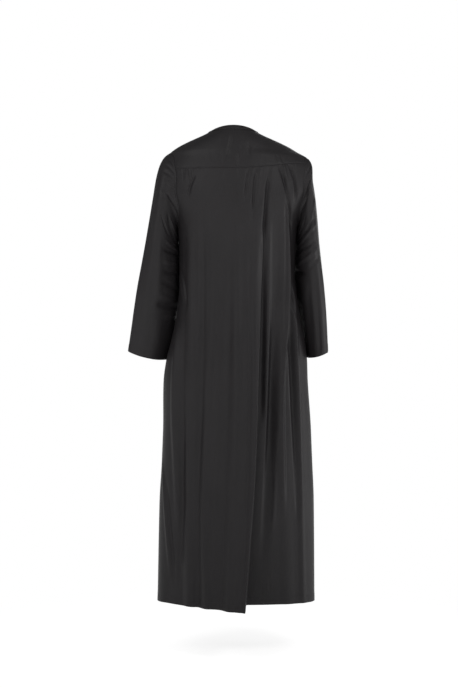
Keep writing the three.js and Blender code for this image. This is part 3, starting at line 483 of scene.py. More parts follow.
def fold_height(side, place, place_of, z, below_yoke):
    """How far the folds stand out: the sum of every fold's height times its cross-section and its fading."""
    height = np.zeros_like(z)
    for i in np.flatnonzero(LONG_FOLDS["side"] == side):
        f = {name: column[i] for name, column in LONG_FOLDS.items()}
        line = {"z": STATIONS, **{k: np.array([f[f"{k}{n}"] for n in range(1, 6)]) for k in "xd"}}
        length = f["top"] - f["low"]
        fade = smoothstep((f["top"] - z) / length * FOLD_FADE)
        if f["low"] > HEM_Z:
            fade = fade * smoothstep((z - f["low"]) / length * FOLD_FADE)
        away = place - place_of(along(line, "z", "x", z))
        u = away / np.where(away > 0, f["left"], f["right"])
        height += fade * along(line, "z", "d", z) * profile(u, f["sharp"])
    for i in np.flatnonzero(CREASES["side"] == side):
        f = {name: column[i] for name, column in CREASES.items()}
        u = np.clip((f["top"] - z) / (f["top"] - f["low"]), 0, 1)
        fade = smoothstep(u * CREASE_TOP_FADE) * smoothstep((1 - u) * CREASE_FOOT_FADE)
        away = place - place_of(through(f["x1"], f["x2"], f["x3"], u))
        height += fade * f["depth"] * profile(away / np.where(away > 0, f["left"], f["right"]), f["sharp"])
    if side == FRONT:
        return height
    before = place - place_of(along(DEEP_FOLD, "z", "x", z))
    depth = np.where(z < DEEP_FOLD["z"][0], along(DEEP_FOLD, "z", "depth", z), 0)
    slope = np.clip(1 - before / along(DEEP_FOLD, "z", "rise", z), 0, None) ** DEEP_FOLD_POWER
    drop = 1 - smoothstep(-before / along(DEEP_FOLD, "z", "drop", z))
    height += depth * np.where(before >= 0, slope, drop)
    return height + gather_height(place, place_of, below_yoke)


def gather_height(place, place_of, below):
    """Small rounded ridges under the yoke seam, each of its own height and length."""
    height = np.zeros_like(below)
    for start, end, count, depth, length in zip(*GATHERS.values()):
        pitch = (end - start) / count
        for i in range(int(count)):
            uneven = math.sin(HEIGHT_WAVE * i + start)
            own = length * (1 + UNEVEN_LENGTH * math.sin(LENGTH_WAVE * i + end))
            fade = smoothstep(below / GATHER_RISE) * (1 - smoothstep(below / own))
            middle = place_of(np.full_like(below, start + pitch * (i + 0.5 + UNEVEN_PLACE * uneven)))
            u = (place - middle) / (abs(pitch) * GATHER_HALF)
            height += depth * (1 + UNEVEN_HEIGHT * uneven) * fade * profile(u, GATHER_SHARP)
    return height


def yoke_level(across):
    """Level of the yoke seam, which climbs on the wearer's right."""
    left, right = turn_level(YOKE_TURN_LEFT), turn_level(YOKE_TURN_RIGHT)
    return left + (right - left) * smoothstep(-across)


def cut_length(side, way, z):
    """Length of each ring that the armhole cuts away."""
    edge = edge_angle(side, z)[:, None]
    angle = way * (edge + (math.pi / 2 - edge) * np.linspace(0, 1, CUT_STEPS))
    points = ring_point(side, angle, np.broadcast_to(z[:, None], angle.shape))
    return np.linalg.norm(np.diff(points, axis=1), axis=-1).sum(1)


def draw_in(distance, cut):
    """Squeezes the columns between an armhole and the far side of the zone into the cloth that is left."""
    near = cut + distance * DRAW_ZONE / (cut + DRAW_ZONE)
    return np.where(distance < cut + DRAW_ZONE, near, distance)


def body_sheet(side, left, right, columns, middle=0.0, centre_columns=None):
    """A panel of the body as a grid of rows and columns.

    left and right are the rows' levels at the two edges, and middle how much lower they are between.
    A row is the unfolded ring, moved along its normal by the folds, and read again at even steps of cloth.
    centre_columns holds columns at set distances from the line down the middle of the front.
    """
    across = np.linspace(-1, 1, FINE + 1)
    left, right = np.asarray(left, float)[:, None], np.asarray(right, float)[:, None]
    middle = np.broadcast_to(np.asarray(middle, float), left[:, 0].shape)[:, None]
    z = left + (right - left) * smoothstep(-across) + middle * np.cos(across * math.pi / 2) ** 2
    base = body_point(side, np.broadcast_to(across, z.shape), z)
    steps = np.linalg.norm(np.diff(base, axis=1), axis=-1)
    length = np.concatenate([np.zeros((len(z), 1)), np.cumsum(steps, 1)], 1)

    def place_of(x):
        return each_row(x, base[..., 0], length)

    end = length[:, -1:]
    fade = smoothstep(length / EDGE_FADE) * smoothstep((end - length) / EDGE_FADE)
    height = fold_height(side, length, place_of, z, yoke_level(across) - z) * fade
    folded = base + body_normal(side, np.broadcast_to(across, z.shape), z) * height[..., None]
    cloth = np.linalg.norm(np.diff(folded, axis=1), axis=-1)
    crowd = 0.0
    if side == BACK:
        mid = z[:, FINE // 2]
        width = along(DEEP_FOLD, "z", "drop", mid)[:, None]
        edge_x = np.broadcast_to(along(DEEP_FOLD, "z", "x", mid)[:, None], z.shape)
        crowd = DROP_CROWD * np.exp(-(((length - place_of(edge_x) + width / 2) / width) ** 2))[:, 1:]
    walk = np.cumsum(cloth * (FOLD_SHARE + crowd) + steps * (1 - FOLD_SHARE), 1)
    walk = np.concatenate([np.zeros((len(z), 1)), walk], 1)
    cut_right = cut_length(side, -1, z[:, 0])[:, None]
    cut_left = cut_length(side, 1, z[:, -1])[:, None]
    full = walk[:, -1:] + cut_left
    at = -cut_right + (full + cut_right) * np.linspace(0, 1, columns + 1)
    if centre_columns is not None:
        u = np.clip(z[:, FINE // 2] / HEM_Z, 0, 1)[:, None]
        centre = each_row(through(*FRONT_CENTRE, u), base[..., 0], length)
        held = each_row(centre + np.asarray(centre_columns), length, walk)
        half, inner = columns // 2, len(centre_columns) // 2
        share = np.linspace(0, 1, half - inner + 1)
        right_part = -cut_right + (held[:, :1] + cut_right) * share
        left_part = held[:, -1:] + (full - held[:, -1:]) * share
        at = np.concatenate([right_part, held[:, 1:-1], left_part], 1)
    at = draw_in(at + cut_right, cut_right) - cut_right
    at = full - draw_in(full - at, cut_left)
    return np.stack([each_row(at, walk, folded[..., k]) for k in range(3)], -1)


def grid_normals(grid, wrap=False):
    """Unit normals of a grid of points, outward for rows that run down and columns that run to the left."""
    if wrap:
        wide = np.concatenate([grid[:, -1:], grid, grid[:, :1]], 1)
        sideways = (wide[:, 2:] - wide[:, :-2]) / 2
    else:
        sideways = np.gradient(grid, axis=1)
    n = np.cross(sideways, np.gradient(grid, axis=0))
    return n / np.maximum(np.linalg.norm(n, axis=-1, keepdims=True), 1e-9)


def sleeve_grid(which, rows, columns):
    """A sleeve as rings: middle + half (cos a, sin a), blended from the armhole, its folds moved outward.

    Where it rests against the body, p = exp(-((a - 180) / reach) squared), the folds are pressed flat by p
    and the cloth is pushed out by p.
    """
    sign = 1.0 if which == "left" else -1.0
    rings = SLEEVES[which]
    share = np.linspace(0, 1, rows)[:, None]
    turn = np.linspace(0, 360, columns, endpoint=False)[None, :]
    c, s = np.cos(np.radians(turn)), np.sin(np.radians(turn))

    def grid_at(k):
        v = {name: along(rings, "ring", name, k) for name in rings if name != "ring"}
        x = (v["outX"] + v["inX"]) / 2 + (v["outX"] - v["inX"]) / 2 * c
        y = v["middle"] + v["deep"] * s + v["lean"] * (1 - c) / 2
        z = (v["outZ"] + v["inZ"]) / 2 + (v["outZ"] - v["inZ"]) / 2 * c
        return np.stack(np.broadcast_arrays(x, y, z), -1)

    level = turn_level(np.where(turn > 180, 360 - turn, turn))[0]
    behind = ring_point(BACK, sign * edge_angle(BACK, level), level)
    before = ring_point(FRONT, sign * edge_angle(FRONT, level), level)
    armhole = np.where((turn[0] <= 180)[:, None], behind, before)
    fade = (1 - smoothstep(share * LAST_RING / BLEND_RINGS))[..., None]
    grid = grid_at(share * LAST_RING) + fade * (armhole - grid_at(np.zeros((1, 1))))
    middle = grid.mean(1, keepdims=True)
    radius = np.linalg.norm(grid - middle, axis=-1)
    pressed = np.exp(-(((turn - 180) / PRESSED_REACH) ** 2))
    height = sleeve_fold_height(which, share, turn, radius)
    height = height * (1 - PRESSED_SHARE * pressed) + PRESSED_RISE * pressed
    height = height * smoothstep(share * SLEEVE_FOLD_START)
    grid = grid + outward(grid, -sign, wrap=True) * height[..., None]
    grid[..., 2] -= (CUFF_DIP * share**3 * np.clip(s, 0, None)) * np.ones_like(radius)
    return grid


def sleeve_fold_height(which, share, turn, radius):
    """Each fold's height times its cross-section, by the distance from its line on the opened sleeve."""
    height = np.zeros_like(radius)
    for t1, a1, t2, a2, depth, half, sharp in zip(*SLEEVE_FOLDS[which].values()):
        around = turn - a1 - 360 * np.round((turn - (a1 + a2) / 2) / 360)
        p = np.stack(np.broadcast_arrays((share - t1) * SLEEVE_LENGTH, np.radians(around) * radius), -1)
        to = np.stack(np.broadcast_arrays((t2 - t1) * SLEEVE_LENGTH, np.radians(a2 - a1) * radius), -1)
        long = np.maximum((to**2).sum(-1), 1e-6)
        u = np.clip((p * to).sum(-1) / long, 0, 1)
        away = np.linalg.norm(p - u[..., None] * to, axis=-1)
        taper = (1 - (2 * u - 1) ** 4) * (1 - FOLD_END_HEIGHT) + FOLD_END_HEIGHT
        height += depth * taper * profile(away / half, sharp)
    return height


def shares(count, head=False, foot=False):
    """Even shares from 0 to 1, with closer ones next to an edge that a seam or a hem runs along."""
    s = np.linspace(0, 1, count + 1)
    close = s[1] * np.array(CLOSE_ROWS)
    parts = [s[:1], close] if head else [s[:1]]
    parts.append(s[1:-1])
    return np.concatenate(parts + ([1 - close[::-1], s[-1:]] if foot else [s[-1:]]))


def neck_rows(middle):
    """Levels from the neckline to the shoulder tip, and how much lower each is in the middle."""
    s, t = np.linspace(0, 1, BAND_STEPS + 1), np.linspace(0, 1, NECK_STEPS + 1)[1:]
    upper = BAND_ROW + (NECK_FOOT - BAND_ROW) * t
    lower = np.linspace(NECK_FOOT, SHOULDER_TIP_Z, NECK_STEPS + 1)[1:-1]
    z = np.concatenate([BAND_ROW * s, upper, lower])
    return z, np.concatenate([middle * s, middle * (1 - t), np.zeros(len(lower))])


def skirt_rows(count):
    """Levels from the underarm to the hem."""
    return UNDERARM_Z + (HEM_Z - UNDERARM_Z) * shares(count, foot=True)


@functools.lru_cache(maxsize=None)
def back_grids():
    """The yoke, and the panel below it, which share the row of the seam."""
    neck, middle = neck_rows(BAND_ROW_NAPE)
    turns = shares(YOKE_ROWS, foot=True)
    left = np.concatenate([neck, turn_level(YOKE_TURN_LEFT * turns)])
    right = np.concatenate([neck, turn_level(YOKE_TURN_RIGHT * turns)])
    middle = np.concatenate([middle, np.zeros(len(turns))])
    yoke = body_sheet(BACK, left, right, BACK_COLUMNS, middle)
    turns = shares(ARMHOLE_ROWS, head=True)
    skirt = skirt_rows(SKIRT_ROWS)[1:]
    left = np.concatenate([turn_level(YOKE_TURN_LEFT + (180 - YOKE_TURN_LEFT) * turns), skirt])
    right = np.concatenate([turn_level(YOKE_TURN_RIGHT + (180 - YOKE_TURN_RIGHT) * turns), skirt])
    panel = body_sheet(BACK, left, right, BACK_COLUMNS)
    return yoke, panel


@functools.lru_cache(maxsize=None)
def front_grid():
    """The front from the neckline to the hem, with columns along the placket."""
    neck, middle = neck_rows(BAND_ROW_THROAT)
    z = np.concatenate([neck, turn_level(180 * shares(FRONT_ARM_ROWS)), skirt_rows(SKIRT_ROWS)[1:]])
    middle = np.concatenate([middle, np.zeros(len(z) - len(middle))])
    places = PLACKET_HALF * np.linspace(-1, 1, 2 * PLACKET_COLUMNS + 1)
    return body_sheet(FRONT, z, z, FRONT_COLUMNS, middle, centre_columns=places)


def edge_distances(grid):
    """How far every point lies from each edge, measured on the cloth."""
    down = np.linalg.norm(np.diff(grid, axis=0), axis=-1)
    down = np.concatenate([np.zeros((1, grid.shape[1])), np.cumsum(down, 0)], 0)
    over = np.linalg.norm(np.diff(grid, axis=1), axis=-1)
    over = np.concatenate([np.zeros((grid.shape[0], 1)), np.cumsum(over, 1)], 1)
    return {"top": down, "bottom": down[-1:] - down, "right": over, "left": over[:, -1:] - over}


def outward(grid, side, wrap=False):
    """Unit normals that point out of the robe. side is 1 for rows that run to the left behind the wearer."""
    return side * grid_normals(grid, wrap)


def seam_way(grid, sign):
    """The way that two pieces' seams sink together: down over the shoulders, sideways below their tips."""
    w = smoothstep((SHOULDER_TIP_Z + TIP_ZONE / 2 - grid[..., 2]) / TIP_ZONE)
    way = np.stack([-sign * w, 0 * w, w - 1], -1)
    return way / np.linalg.norm(way, axis=-1, keepdims=True)


def sewn(grid, normals, seams, turn_up=None):
    """Seams sink where two cloths roll inwards, by depth exp(-(distance / reach) squared).

    seams names each edge with 0 where it sinks straight in, and 1 or -1 where it faces the wearer's left or
    right. turn_up names an edge that is folded under, so that the cloth there is a little higher.
    """
    away = edge_distances(grid)
    moved = grid.copy()
    for edge, sign in seams.items():
        depth = (SEAM_SINK * np.exp(-((away[edge] / SEAM_REACH) ** 2)))[..., None]
        moved += depth * (seam_way(grid, sign) if sign else -normals)
    if turn_up:
        rise = TURN_UP_RISE * smoothstep((TURN_UP - away[turn_up]) / TURN_UP_EDGE + 0.5)
        rise -= STITCH_SINK * np.exp(-(((away[turn_up] - TURN_UP) / STITCH_REACH) ** 2))
        moved += normals * rise[..., None]
    return moved


def mesh_object(name, points, faces, uv=None):
    """A mesh object from points in millimetres and faces that list them, in metres at the origin."""
    mesh = bpy.data.meshes.new(name)
    mesh.from_pydata((points.reshape(-1, 3) * MM).tolist(), [], faces.tolist())
    mesh.shade_smooth()
    if uv is not None:
        layer = mesh.uv_layers.new(name="cloth")
        corners = np.empty(len(mesh.loops), np.int32)
        mesh.loops.foreach_get("vertex_index", corners)
        layer.data.foreach_set("uv", (uv.reshape(-1, 2) * MM)[corners].ravel())
    obj = bpy.data.objects.new(name, mesh)
    bpy.context.scene.collection.objects.link(obj)
    return obj


def quads(index, wrap=False, flip=False):
    """Faces of a grid of point numbers."""
    right = np.roll(index, -1, axis=1) if wrap else index[:, 1:]
    left = index if wrap else index[:, :-1]
    faces = np.stack([left[:-1], left[1:], right[1:], right[:-1]], -1).reshape(-1, 4)
    return faces[:, ::-1] if flip else faces


def flat_places(grid):
    """Where every point lies on the flat cloth: across from the middle column, and down from the top row."""
    away, half = edge_distances(grid), grid.shape[1] // 2
    across = away["right"] - away["right"][:, half : half + 1]
    return np.stack([across, -away["top"]], -1)


def cloth_piece(name, grid, node, settings, faces=None, wrap=False, flip=False, points=None, uv=None):
    """A shell of the cloth's own thickness on the inside of a grid, which stands for a CAD node."""
    if faces is None:
        faces = quads(np.arange(grid.shape[0] * grid.shape[1]).reshape(grid.shape[:2]), wrap, flip)
    points = grid if points is None else points
    uv = flat_places(grid) if uv is None else uv
    obj = mesh_object(name, points, faces, uv)
    wall = obj.modifiers.new("Thickness", "SOLIDIFY")
    wall.thickness = settings.cloth_thickness
    wall.offset = -1
    obj.data.materials.append(cloth_material())
    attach(obj, "root")
    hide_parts(node)
    return obj


def line_at(grid, away, distance):
    """The line that runs at one distance from an edge, across all the columns."""
    a, g = away.T, np.swapaxes(grid, 0, 1)
    if a[0, 0] > a[0, -1]:
        a, g = a[:, ::-1], g[:, ::-1]
    return np.stack([[np.interp(distance, p, q) for p, q in zip(a, g[..., k])] for k in range(3)], -1)


def stitches(name, lines, settings):
    """Thread along lines on the cloth: each stitch is a short bar whose ends dip into the cloth.

    A line is a pair of arrays, points and outward normals. A stitch is a row of six-sided rings, which lie
    lift - dip t^4 radii above the cloth, where t runs from -1 to 1 along it.
    """
    pitch, length = settings.stitch_pitch / MM, settings.stitch_length / MM
    radius = settings.thread_diameter / MM / 2
    points, faces, start = [], [], 0
    for line, normals in lines:
        far = np.concatenate([[0], np.cumsum(np.linalg.norm(np.diff(line, axis=0), axis=-1))])
        count = int((far[-1] - pitch) / pitch)
        middle = (far[-1] - (count - 1) * pitch) / 2 + pitch * np.arange(count)
        at = middle[:, None] + STITCH_RINGS["t"] * length / 2
        p = np.stack([np.interp(at, far, line[:, k]) for k in range(3)], -1)
        n = np.stack([np.interp(at, far, normals[:, k]) for k in range(3)], -1)
        n /= np.linalg.norm(n, axis=-1, keepdims=True)
        ahead = np.gradient(p, axis=1)
        side = np.cross(n, ahead)
        side /= np.linalg.norm(side, axis=-1, keepdims=True)
        turn = np.arange(STITCH_SIDES) * 2 * math.pi / STITCH_SIDES
        r = (radius * STITCH_RINGS["r"])[None, :, None, None]
        lift = (radius * (STITCH_LIFT - STITCH_DIP * STITCH_RINGS["t"] ** 4))[None, :, None, None]
        around = np.cos(turn)[:, None] * side[:, :, None] + np.sin(turn)[:, None] * n[:, :, None]
        points.append((p[:, :, None] + n[:, :, None] * lift + around * r).reshape(-1, 3))
        rings = len(STITCH_RINGS["t"])
        index = np.arange(count * rings * STITCH_SIDES).reshape(count, rings, STITCH_SIDES) + start
        nxt = np.roll(index, -1, axis=2)
        faces.append(np.stack([index[:, :-1], nxt[:, :-1], nxt[:, 1:], index[:, 1:]], -1).reshape(-1, 4))
        for ring, way in ((0, -1), (rings - 1, 1)):
            for corners in STITCH_END_FACES:
                faces.append(index[:, ring][:, corners][:, ::way])
        start += index.size
    obj = mesh_object(name, np.concatenate(points), np.concatenate(faces))
    obj.data.materials.append(thread_material())
    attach(obj, "root")
    return obj


@functools.lru_cache(maxsize=None)
def back_panel_surface():
    """The back panel with its seams sunk and its hem turned up."""
    _, panel = back_grids()
    return sewn(panel, outward(panel, 1), {"top": 0, "left": 1, "right": -1}, turn_up="bottom")


@functools.lru_cache(maxsize=None)
def front_panel_surface():
    """The front panel, and the first row that the chest slit doesn't reach."""
    grid = front_grid()
    line = grid[:, grid.shape[1] // 2, 2]
    split = int(np.argmax(line < line[0] - SLIT_LENGTH))
    return sewn(grid, outward(grid, -1), {"left": 1, "right": -1}, turn_up="bottom"), split


@functools.lru_cache(maxsize=None)
def placket_surface():
    """The front's own points beside the slit, moved out by a cloth and a small gap."""
    grid, split = front_grid(), front_panel_surface()[1]
    half = grid.shape[1] // 2
    part = slice(half - PLACKET_COLUMNS, half + PLACKET_COLUMNS + 1)
    normals = outward(grid, -1)
    rows = slice(BAND_STEPS, split + PLACKET_FOOT_ROWS)
    base, n = grid[rows, part], normals[rows, part]
    return sewn(base + n * LAID_HEIGHT, n, {"bottom": 0, "left": 0, "right": 0})


@functools.lru_cache(maxsize=None)
def neck_band_surface():
    """Front, nape and front again, from one side of the slit round to the other, moved out by a cloth."""
    front, (yoke, _) = front_grid(), back_grids()
    normals = outward(front, -1), outward(yoke, 1)
    half, rows = front.shape[1] // 2, BAND_STEPS + 1

    def joined(f, b):
        return np.concatenate([f[:rows, half:-1], b[:rows, ::-1], f[:rows, 1 : half + 1]], 1)

    base, n = joined(front, yoke), joined(*normals)
    return base + n * LAID_HEIGHT


def close_ring(grid):
    """A ring grid with its first column repeated at the end."""
    return np.concatenate([grid, grid[:, :1]], 1)


@functools.lru_cache(maxsize=None)
def sleeve_surface(which):
    """A sleeve with its armhole seam sunk and its cuff turned up."""
    grid = sleeve_grid(which, SLEEVE_ROWS, SLEEVE_COLUMNS)
    sign = 1 if which == "left" else -1
    return sewn(grid, outward(grid, -sign, wrap=True), {"top": sign}, turn_up="bottom")


def sleeve_places(grid):
    """Where every point of a sleeve lies on the flat cloth."""
    away = edge_distances(grid)
    return np.stack([away["right"], -away["top"]], -1)


def edge_line(grid, side, edge, distance):
    """A line along one edge of a grid, with the normals there."""
    away = edge_distances(grid)[edge]
    normals = line_at(outward(grid, side), away, distance)
    return line_at(grid, away, distance), normals


def hem_line(grid, side):
    """The line of stitches that holds a turned hem."""
    return edge_line(grid, side, "bottom", TURN_UP)


def placket_lines(grid):
    """Down both sides of the placket, across its foot and across just above it."""
    normals = outward(grid, -1)
    away = edge_distances(grid)
    lines = []
    for column in (0, -1):
        inner = 1 if column == 0 else -2
        share = PLACKET_STITCH / np.linalg.norm(grid[:, inner] - grid[:, column], axis=-1)[:, None]
        line = grid[:, column] * (1 - share) + grid[:, inner] * share
        keep = away["bottom"][:, 0] > PLACKET_STITCH
        lines.append((line[keep], normals[:, inner][keep]))
    for distance in (PLACKET_STITCH, PLACKET_BAR):
        line, n = edge_line(grid, -1, "bottom", distance)
        lines.append((line[1:-1], n[1:-1]))
    return lines


class Socket:
    """A value in a material's node tree, which plus and times turn into maths nodes."""

    def __init__(self, nodes, socket):
        self.nodes, self.socket = nodes, socket

    def _with(self, operation, other):
        return self.nodes.add("ShaderNodeMath", {"operation": operation}, {0: self, 1: other})[0]

    def __add__(self, other):
        return self._with("ADD", other)

    __radd__ = __add__

    def __mul__(self, other):
        return self._with("MULTIPLY", other)

    __rmul__ = __mul__


class Nodes:
    """A new material's node tree, built one node at a time."""

    def __init__(self, name):
        self.material = bpy.data.materials.new(name)
        self.material.use_nodes = True
        self.tree = self.material.node_tree
        self.tree.nodes.clear()

    def add(self, kind, settings=None, inputs=None):
        """Adds a node, sets its options and inputs, and returns its outputs wrapped."""
        node = self.tree.nodes.new(kind)
        for name, value in (settings or {}).items():
            setattr(node, name, value)
        for key, value in (inputs or {}).items():
            if isinstance(value, Socket):
                self.tree.links.new(value.socket, node.inputs[key])
            else:
                node.inputs[key].default_value = value
        return [Socket(self, output) for output in node.outputs]

    def mix_colour(self, factor, a, b):
        """Mixes two colours: factor 0 gives a and 1 gives b."""
        settings = {"data_type": "RGBA", "clamp_factor": True}
        return self.add("ShaderNodeMix", settings, {0: factor, 6: a, 7: b})[2]

    def noise(self, vector, scale, detail=2.0, roughness=0.5):
        """Soft random values from 0 to 1."""
        inputs = {"Vector": vector, "Scale": scale, "Detail": detail, "Roughness": roughness}
        return self.add("ShaderNodeTexNoise", {}, inputs)[0]

    def ramp(self, value, low, high, to_low=0.0, to_high=1.0):
        """A smooth step of a value from one range to another."""
        inputs = {"Value": value, 1: low, 2: high, 3: to_low, 4: to_high}
        return self.add("ShaderNodeMapRange", {"interpolation_type": "SMOOTHSTEP"}, inputs)[0]

    def scaled(self, vector, amounts):
        """A vector times an amount for each of its axes."""
        return self.add("ShaderNodeVectorMath", {"operation": "MULTIPLY"}, {0: vector, 1: amounts})[0]

    def bump(self, height, distance, strength=1.0, below=None):
        """The normal of a surface raised by a height, on top of the bump below where there is one."""
        inputs = {"Strength": strength, "Distance": distance, "Height": height}
        if below is not None:
            inputs["Normal"] = below
        return self.add("ShaderNodeBump", {}, inputs)[0]

    def surface(self, base, roughness, specular, more):
        """The shader of cloth, thread or paper, with more sockets by their names."""
        inputs = {"Base Color": base, "Roughness": roughness, "Specular IOR Level": specular, **more}
        return self.add("ShaderNodeBsdfPrincipled", {}, inputs)[0]

    def glow(self):
        """Plain white that needs no light."""
        return self.add("ShaderNodeEmission", {}, {"Color": WHITE, "Strength": 1.0})[0]

    def finish(self, shader):
        """Joins the shader to the material, which is done."""
        self.add("ShaderNodeOutputMaterial", {}, {"Surface": shader})
        return self.material


def colour(rgb):
    """A colour with full opacity."""
    return (*rgb, 1.0)


@functools.lru_cache(maxsize=None)
def cloth_material():
    """Smooth dark suiting: a plain weave of fine threads, faint slubs and soft handling creases."""
    colours = bpy.context.scene.robe_colours
    n = Nodes("robe_cloth")
    place = n.add("ShaderNodeUVMap", {"uv_map": "cloth"})[0]

    def threads_along(direction):
        settings = {"wave_type": "BANDS", "bands_direction": direction, "wave_profile": "SIN"}
        return n.add("ShaderNodeTexWave", settings, {"Vector": place, **WEAVE})[1]

    weave = threads_along("X") * 0.5 + threads_along("Y") * 0.5
    slubs = n.noise(n.scaled(place, (SLUB_ACROSS, SLUB_ALONG, 1.0)), 1.0)
    cross_slubs = n.noise(n.scaled(place, (SLUB_ALONG, SLUB_ACROSS, 1.0)), 1.0)
    body = n.add("ShaderNodeTexCoord")[3]
    patches = n.noise(body, PATCH_SCALE, detail=3.0, roughness=0.55)
    creases = n.noise(n.scaled(body, CREASE_SCALES), 1.0, detail=3.0, roughness=0.45)
    fine_creases = n.noise(n.scaled(body, FINE_CREASE_SCALES), 1.0)
    # Painted light on the threads' crowns and painted shade between them, from the weave, with random tone
    # from slubs and patches.
    shade = weave * WEAVE_LIGHT_AND_SHADE + slubs * SLUB_TONE + cross_slubs * CROSS_SLUB_TONE
    shade = shade + n.ramp(patches, PATCH_LOW, PATCH_HIGH) * PATCH_TONE
    base = n.mix_colour(shade, colour(colours.cloth_dark), colour(colours.cloth_light))
    smooth, rough = CLOTH_ROUGHNESS - PATCH_ROUGHNESS, CLOTH_ROUGHNESS + PATCH_ROUGHNESS
    roughness = n.ramp(patches, PATCH_LOW, PATCH_HIGH, smooth, rough)
    soft = n.bump(creases, CREASE_BUMP)
    finer = n.bump(fine_creases, FINE_CREASE_BUMP, below=soft)
    threads = n.bump(weave + slubs * SLUB_BUMP, THREAD_BUMP, THREAD_BUMP_STRENGTH, finer)
    sheen = {
        "Sheen Weight": CLOTH_SHEEN,
        "Sheen Roughness": SHEEN_ROUGHNESS,
        "Sheen Tint": colour(colours.cloth_light),
    }
    return n.finish(n.surface(base, roughness, CLOTH_SPECULAR, {"Normal": threads, **sheen}))


@functools.lru_cache(maxsize=None)
def thread_material():
    """Sewing thread a shade lighter than the cloth, with painted shade between the plies as a soft mottle.
    """
    n = Nodes("robe_thread")
    ply = n.noise(n.add("ShaderNodeTexCoord")[3], PLY_SCALE, detail=1.0)
    thread = bpy.context.scene.robe_colours.thread
    # Painted shade between the plies, laid on as a soft random mottle.
    base = n.mix_colour(ply, colour([PLY_SHADE * channel for channel in thread]), colour(thread))
    return n.finish(n.surface(base, THREAD_ROUGHNESS, THREAD_SPECULAR, {}))


def light(name, place, aim, size, watts):
    """A square soft light at a place, turned towards a point."""
    data = bpy.data.lights.new(name, "AREA")
    data.shape, data.size, data.energy = "SQUARE", size, watts
    lamp = bpy.data.objects.new(name, data)
    lamp.location = place
    lamp.rotation_euler = (Vector(aim) - Vector(place)).to_track_quat("-Z", "Y").to_euler()
    bpy.context.scene.collection.objects.link(lamp)
    return lamp


def floor_material(name, own_glow):
    """White paper with a glow of its own, which turns to plain white away from the robe's feet."""
    n = Nodes(name)
    body = n.add("ShaderNodeTexCoord")[3]
    flat = n.scaled(body, (1.0, 1.0, 0.0))
    away = n.add("ShaderNodeVectorMath", {"operation": "LENGTH"}, {0: flat})[1]
    grain = n.noise(body, GRAIN_SCALE)
    floor = bpy.context.scene.robe_colours.floor
    base = n.mix_colour(grain, colour([GRAIN_SHADE * channel for channel in floor]), colour(floor))
    glow = {"Emission Color": WHITE, "Emission Strength": own_glow}
    paper = n.surface(base, FLOOR_ROUGHNESS, FLOOR_SPECULAR, glow)
    whiteness = n.ramp(away, FLOOR_PLAIN, FLOOR_WHITE)
    return n.finish(n.add("ShaderNodeMixShader", {}, {0: whiteness, 1: paper, 2: n.glow()})[0])


def round_turns():
    """Angles of the points round the floor and the dome."""
    return np.linspace(0, 2 * math.pi, ROUND_POINTS, endpoint=False)


def floor_disc(name, radius, z, own_glow):
    """A flat round floor at a height: its edge point at angle a is radius times (cos a, sin a)."""
    turn = round_turns()
    rim = np.stack([np.cos(turn), np.sin(turn), 0 * turn], -1) * radius + (0, 0, z)
    disc = mesh_object(name, rim / MM, np.arange(ROUND_POINTS)[None, :])
    disc.data.materials.append(floor_material(f"{name}_paper", own_glow))
    return disc


def white_dome():
    """A white ball round the studio: its point is radius times (cos t cos a, cos t sin a, sin t)."""
    turn = round_turns()
    tilt = np.linspace(-math.pi / 2, math.pi / 2, DOME_ROWS)[:, None]
    ball = np.broadcast_arrays(np.cos(tilt) * np.cos(turn), np.cos(tilt) * np.sin(turn), np.sin(tilt))
    index = np.arange(DOME_ROWS * ROUND_POINTS).reshape(DOME_ROWS, ROUND_POINTS)
    obj = mesh_object("backdrop", np.stack(ball, -1) * DOME_RADIUS / MM, quads(index, wrap=True))
    n = Nodes("backdrop_white")
    obj.data.materials.append(n.finish(n.glow()))
    return obj


def build_stage(scene):
    """A white floor sheet over a plainer floor that lights the robe, a white dome and four soft lights."""
    floor = floor_disc("floor", FLOOR_RADIUS, FLOOR_Z, 0.0)
    sheet = floor_disc("floor_sheet", SHEET_RADIUS, FLOOR_Z + SHEET_LIFT, SHEET_GLOW)
    dome = white_dome()
    for unlit in (sheet, dome):
        for use in ("diffuse", "glossy", "transmission", "shadow", "volume_scatter"):
            setattr(unlit, f"visible_{use}", False)
    key, fill, front, side = (light(*row) for row in LIGHTS)
    world = bpy.data.worlds.new("studio")
    world.use_nodes = True
    background = world.node_tree.nodes["Background"]
    background.inputs["Color"].default_value = WHITE
    background.inputs["Strength"].default_value = WORLD_LIGHT
    scene.world = world
    scene.view_settings.view_transform = "Standard"
    data = bpy.data.cameras.new("camera")
    data.lens = CAMERA_LENS
    camera = bpy.data.objects.new("camera", data)
    camera.location = CAMERA_PLACE
    camera.rotation_euler = (math.pi / 2, 0, math.pi)
    scene.collection.objects.link(camera)
    scene.camera = camera
    scene.cycles.max_bounces = LIGHT_BOUNCES


class RobeSizes(PropertyGroup):
    """Sizes of the cloth, the hems and the stitches."""

    cloth_thickness: FloatProperty(
        name="Cloth thickness", description="Thickness of one cloth", default=0.001, min=0.0004, max=0.0015,
        unit="LENGTH", subtype="DISTANCE", precision=4,
    )
    stitch_pitch: FloatProperty(
        name="Stitch pitch", description="From one stitch to the next", default=0.0034, min=0.002, max=0.008,
        unit="LENGTH", subtype="DISTANCE", precision=4,
    )
    stitch_length: FloatProperty(
        name="Stitch length", description="Length of one stitch", default=0.0027, min=0.001, max=0.007,
        unit="LENGTH", subtype="DISTANCE", precision=4,
    )
    thread_diameter: FloatProperty(
        name="Thread", description="Diameter of the sewing thread", default=0.00045, min=0.0002, max=0.001,
        unit="LENGTH", subtype="DISTANCE", precision=5,
    )


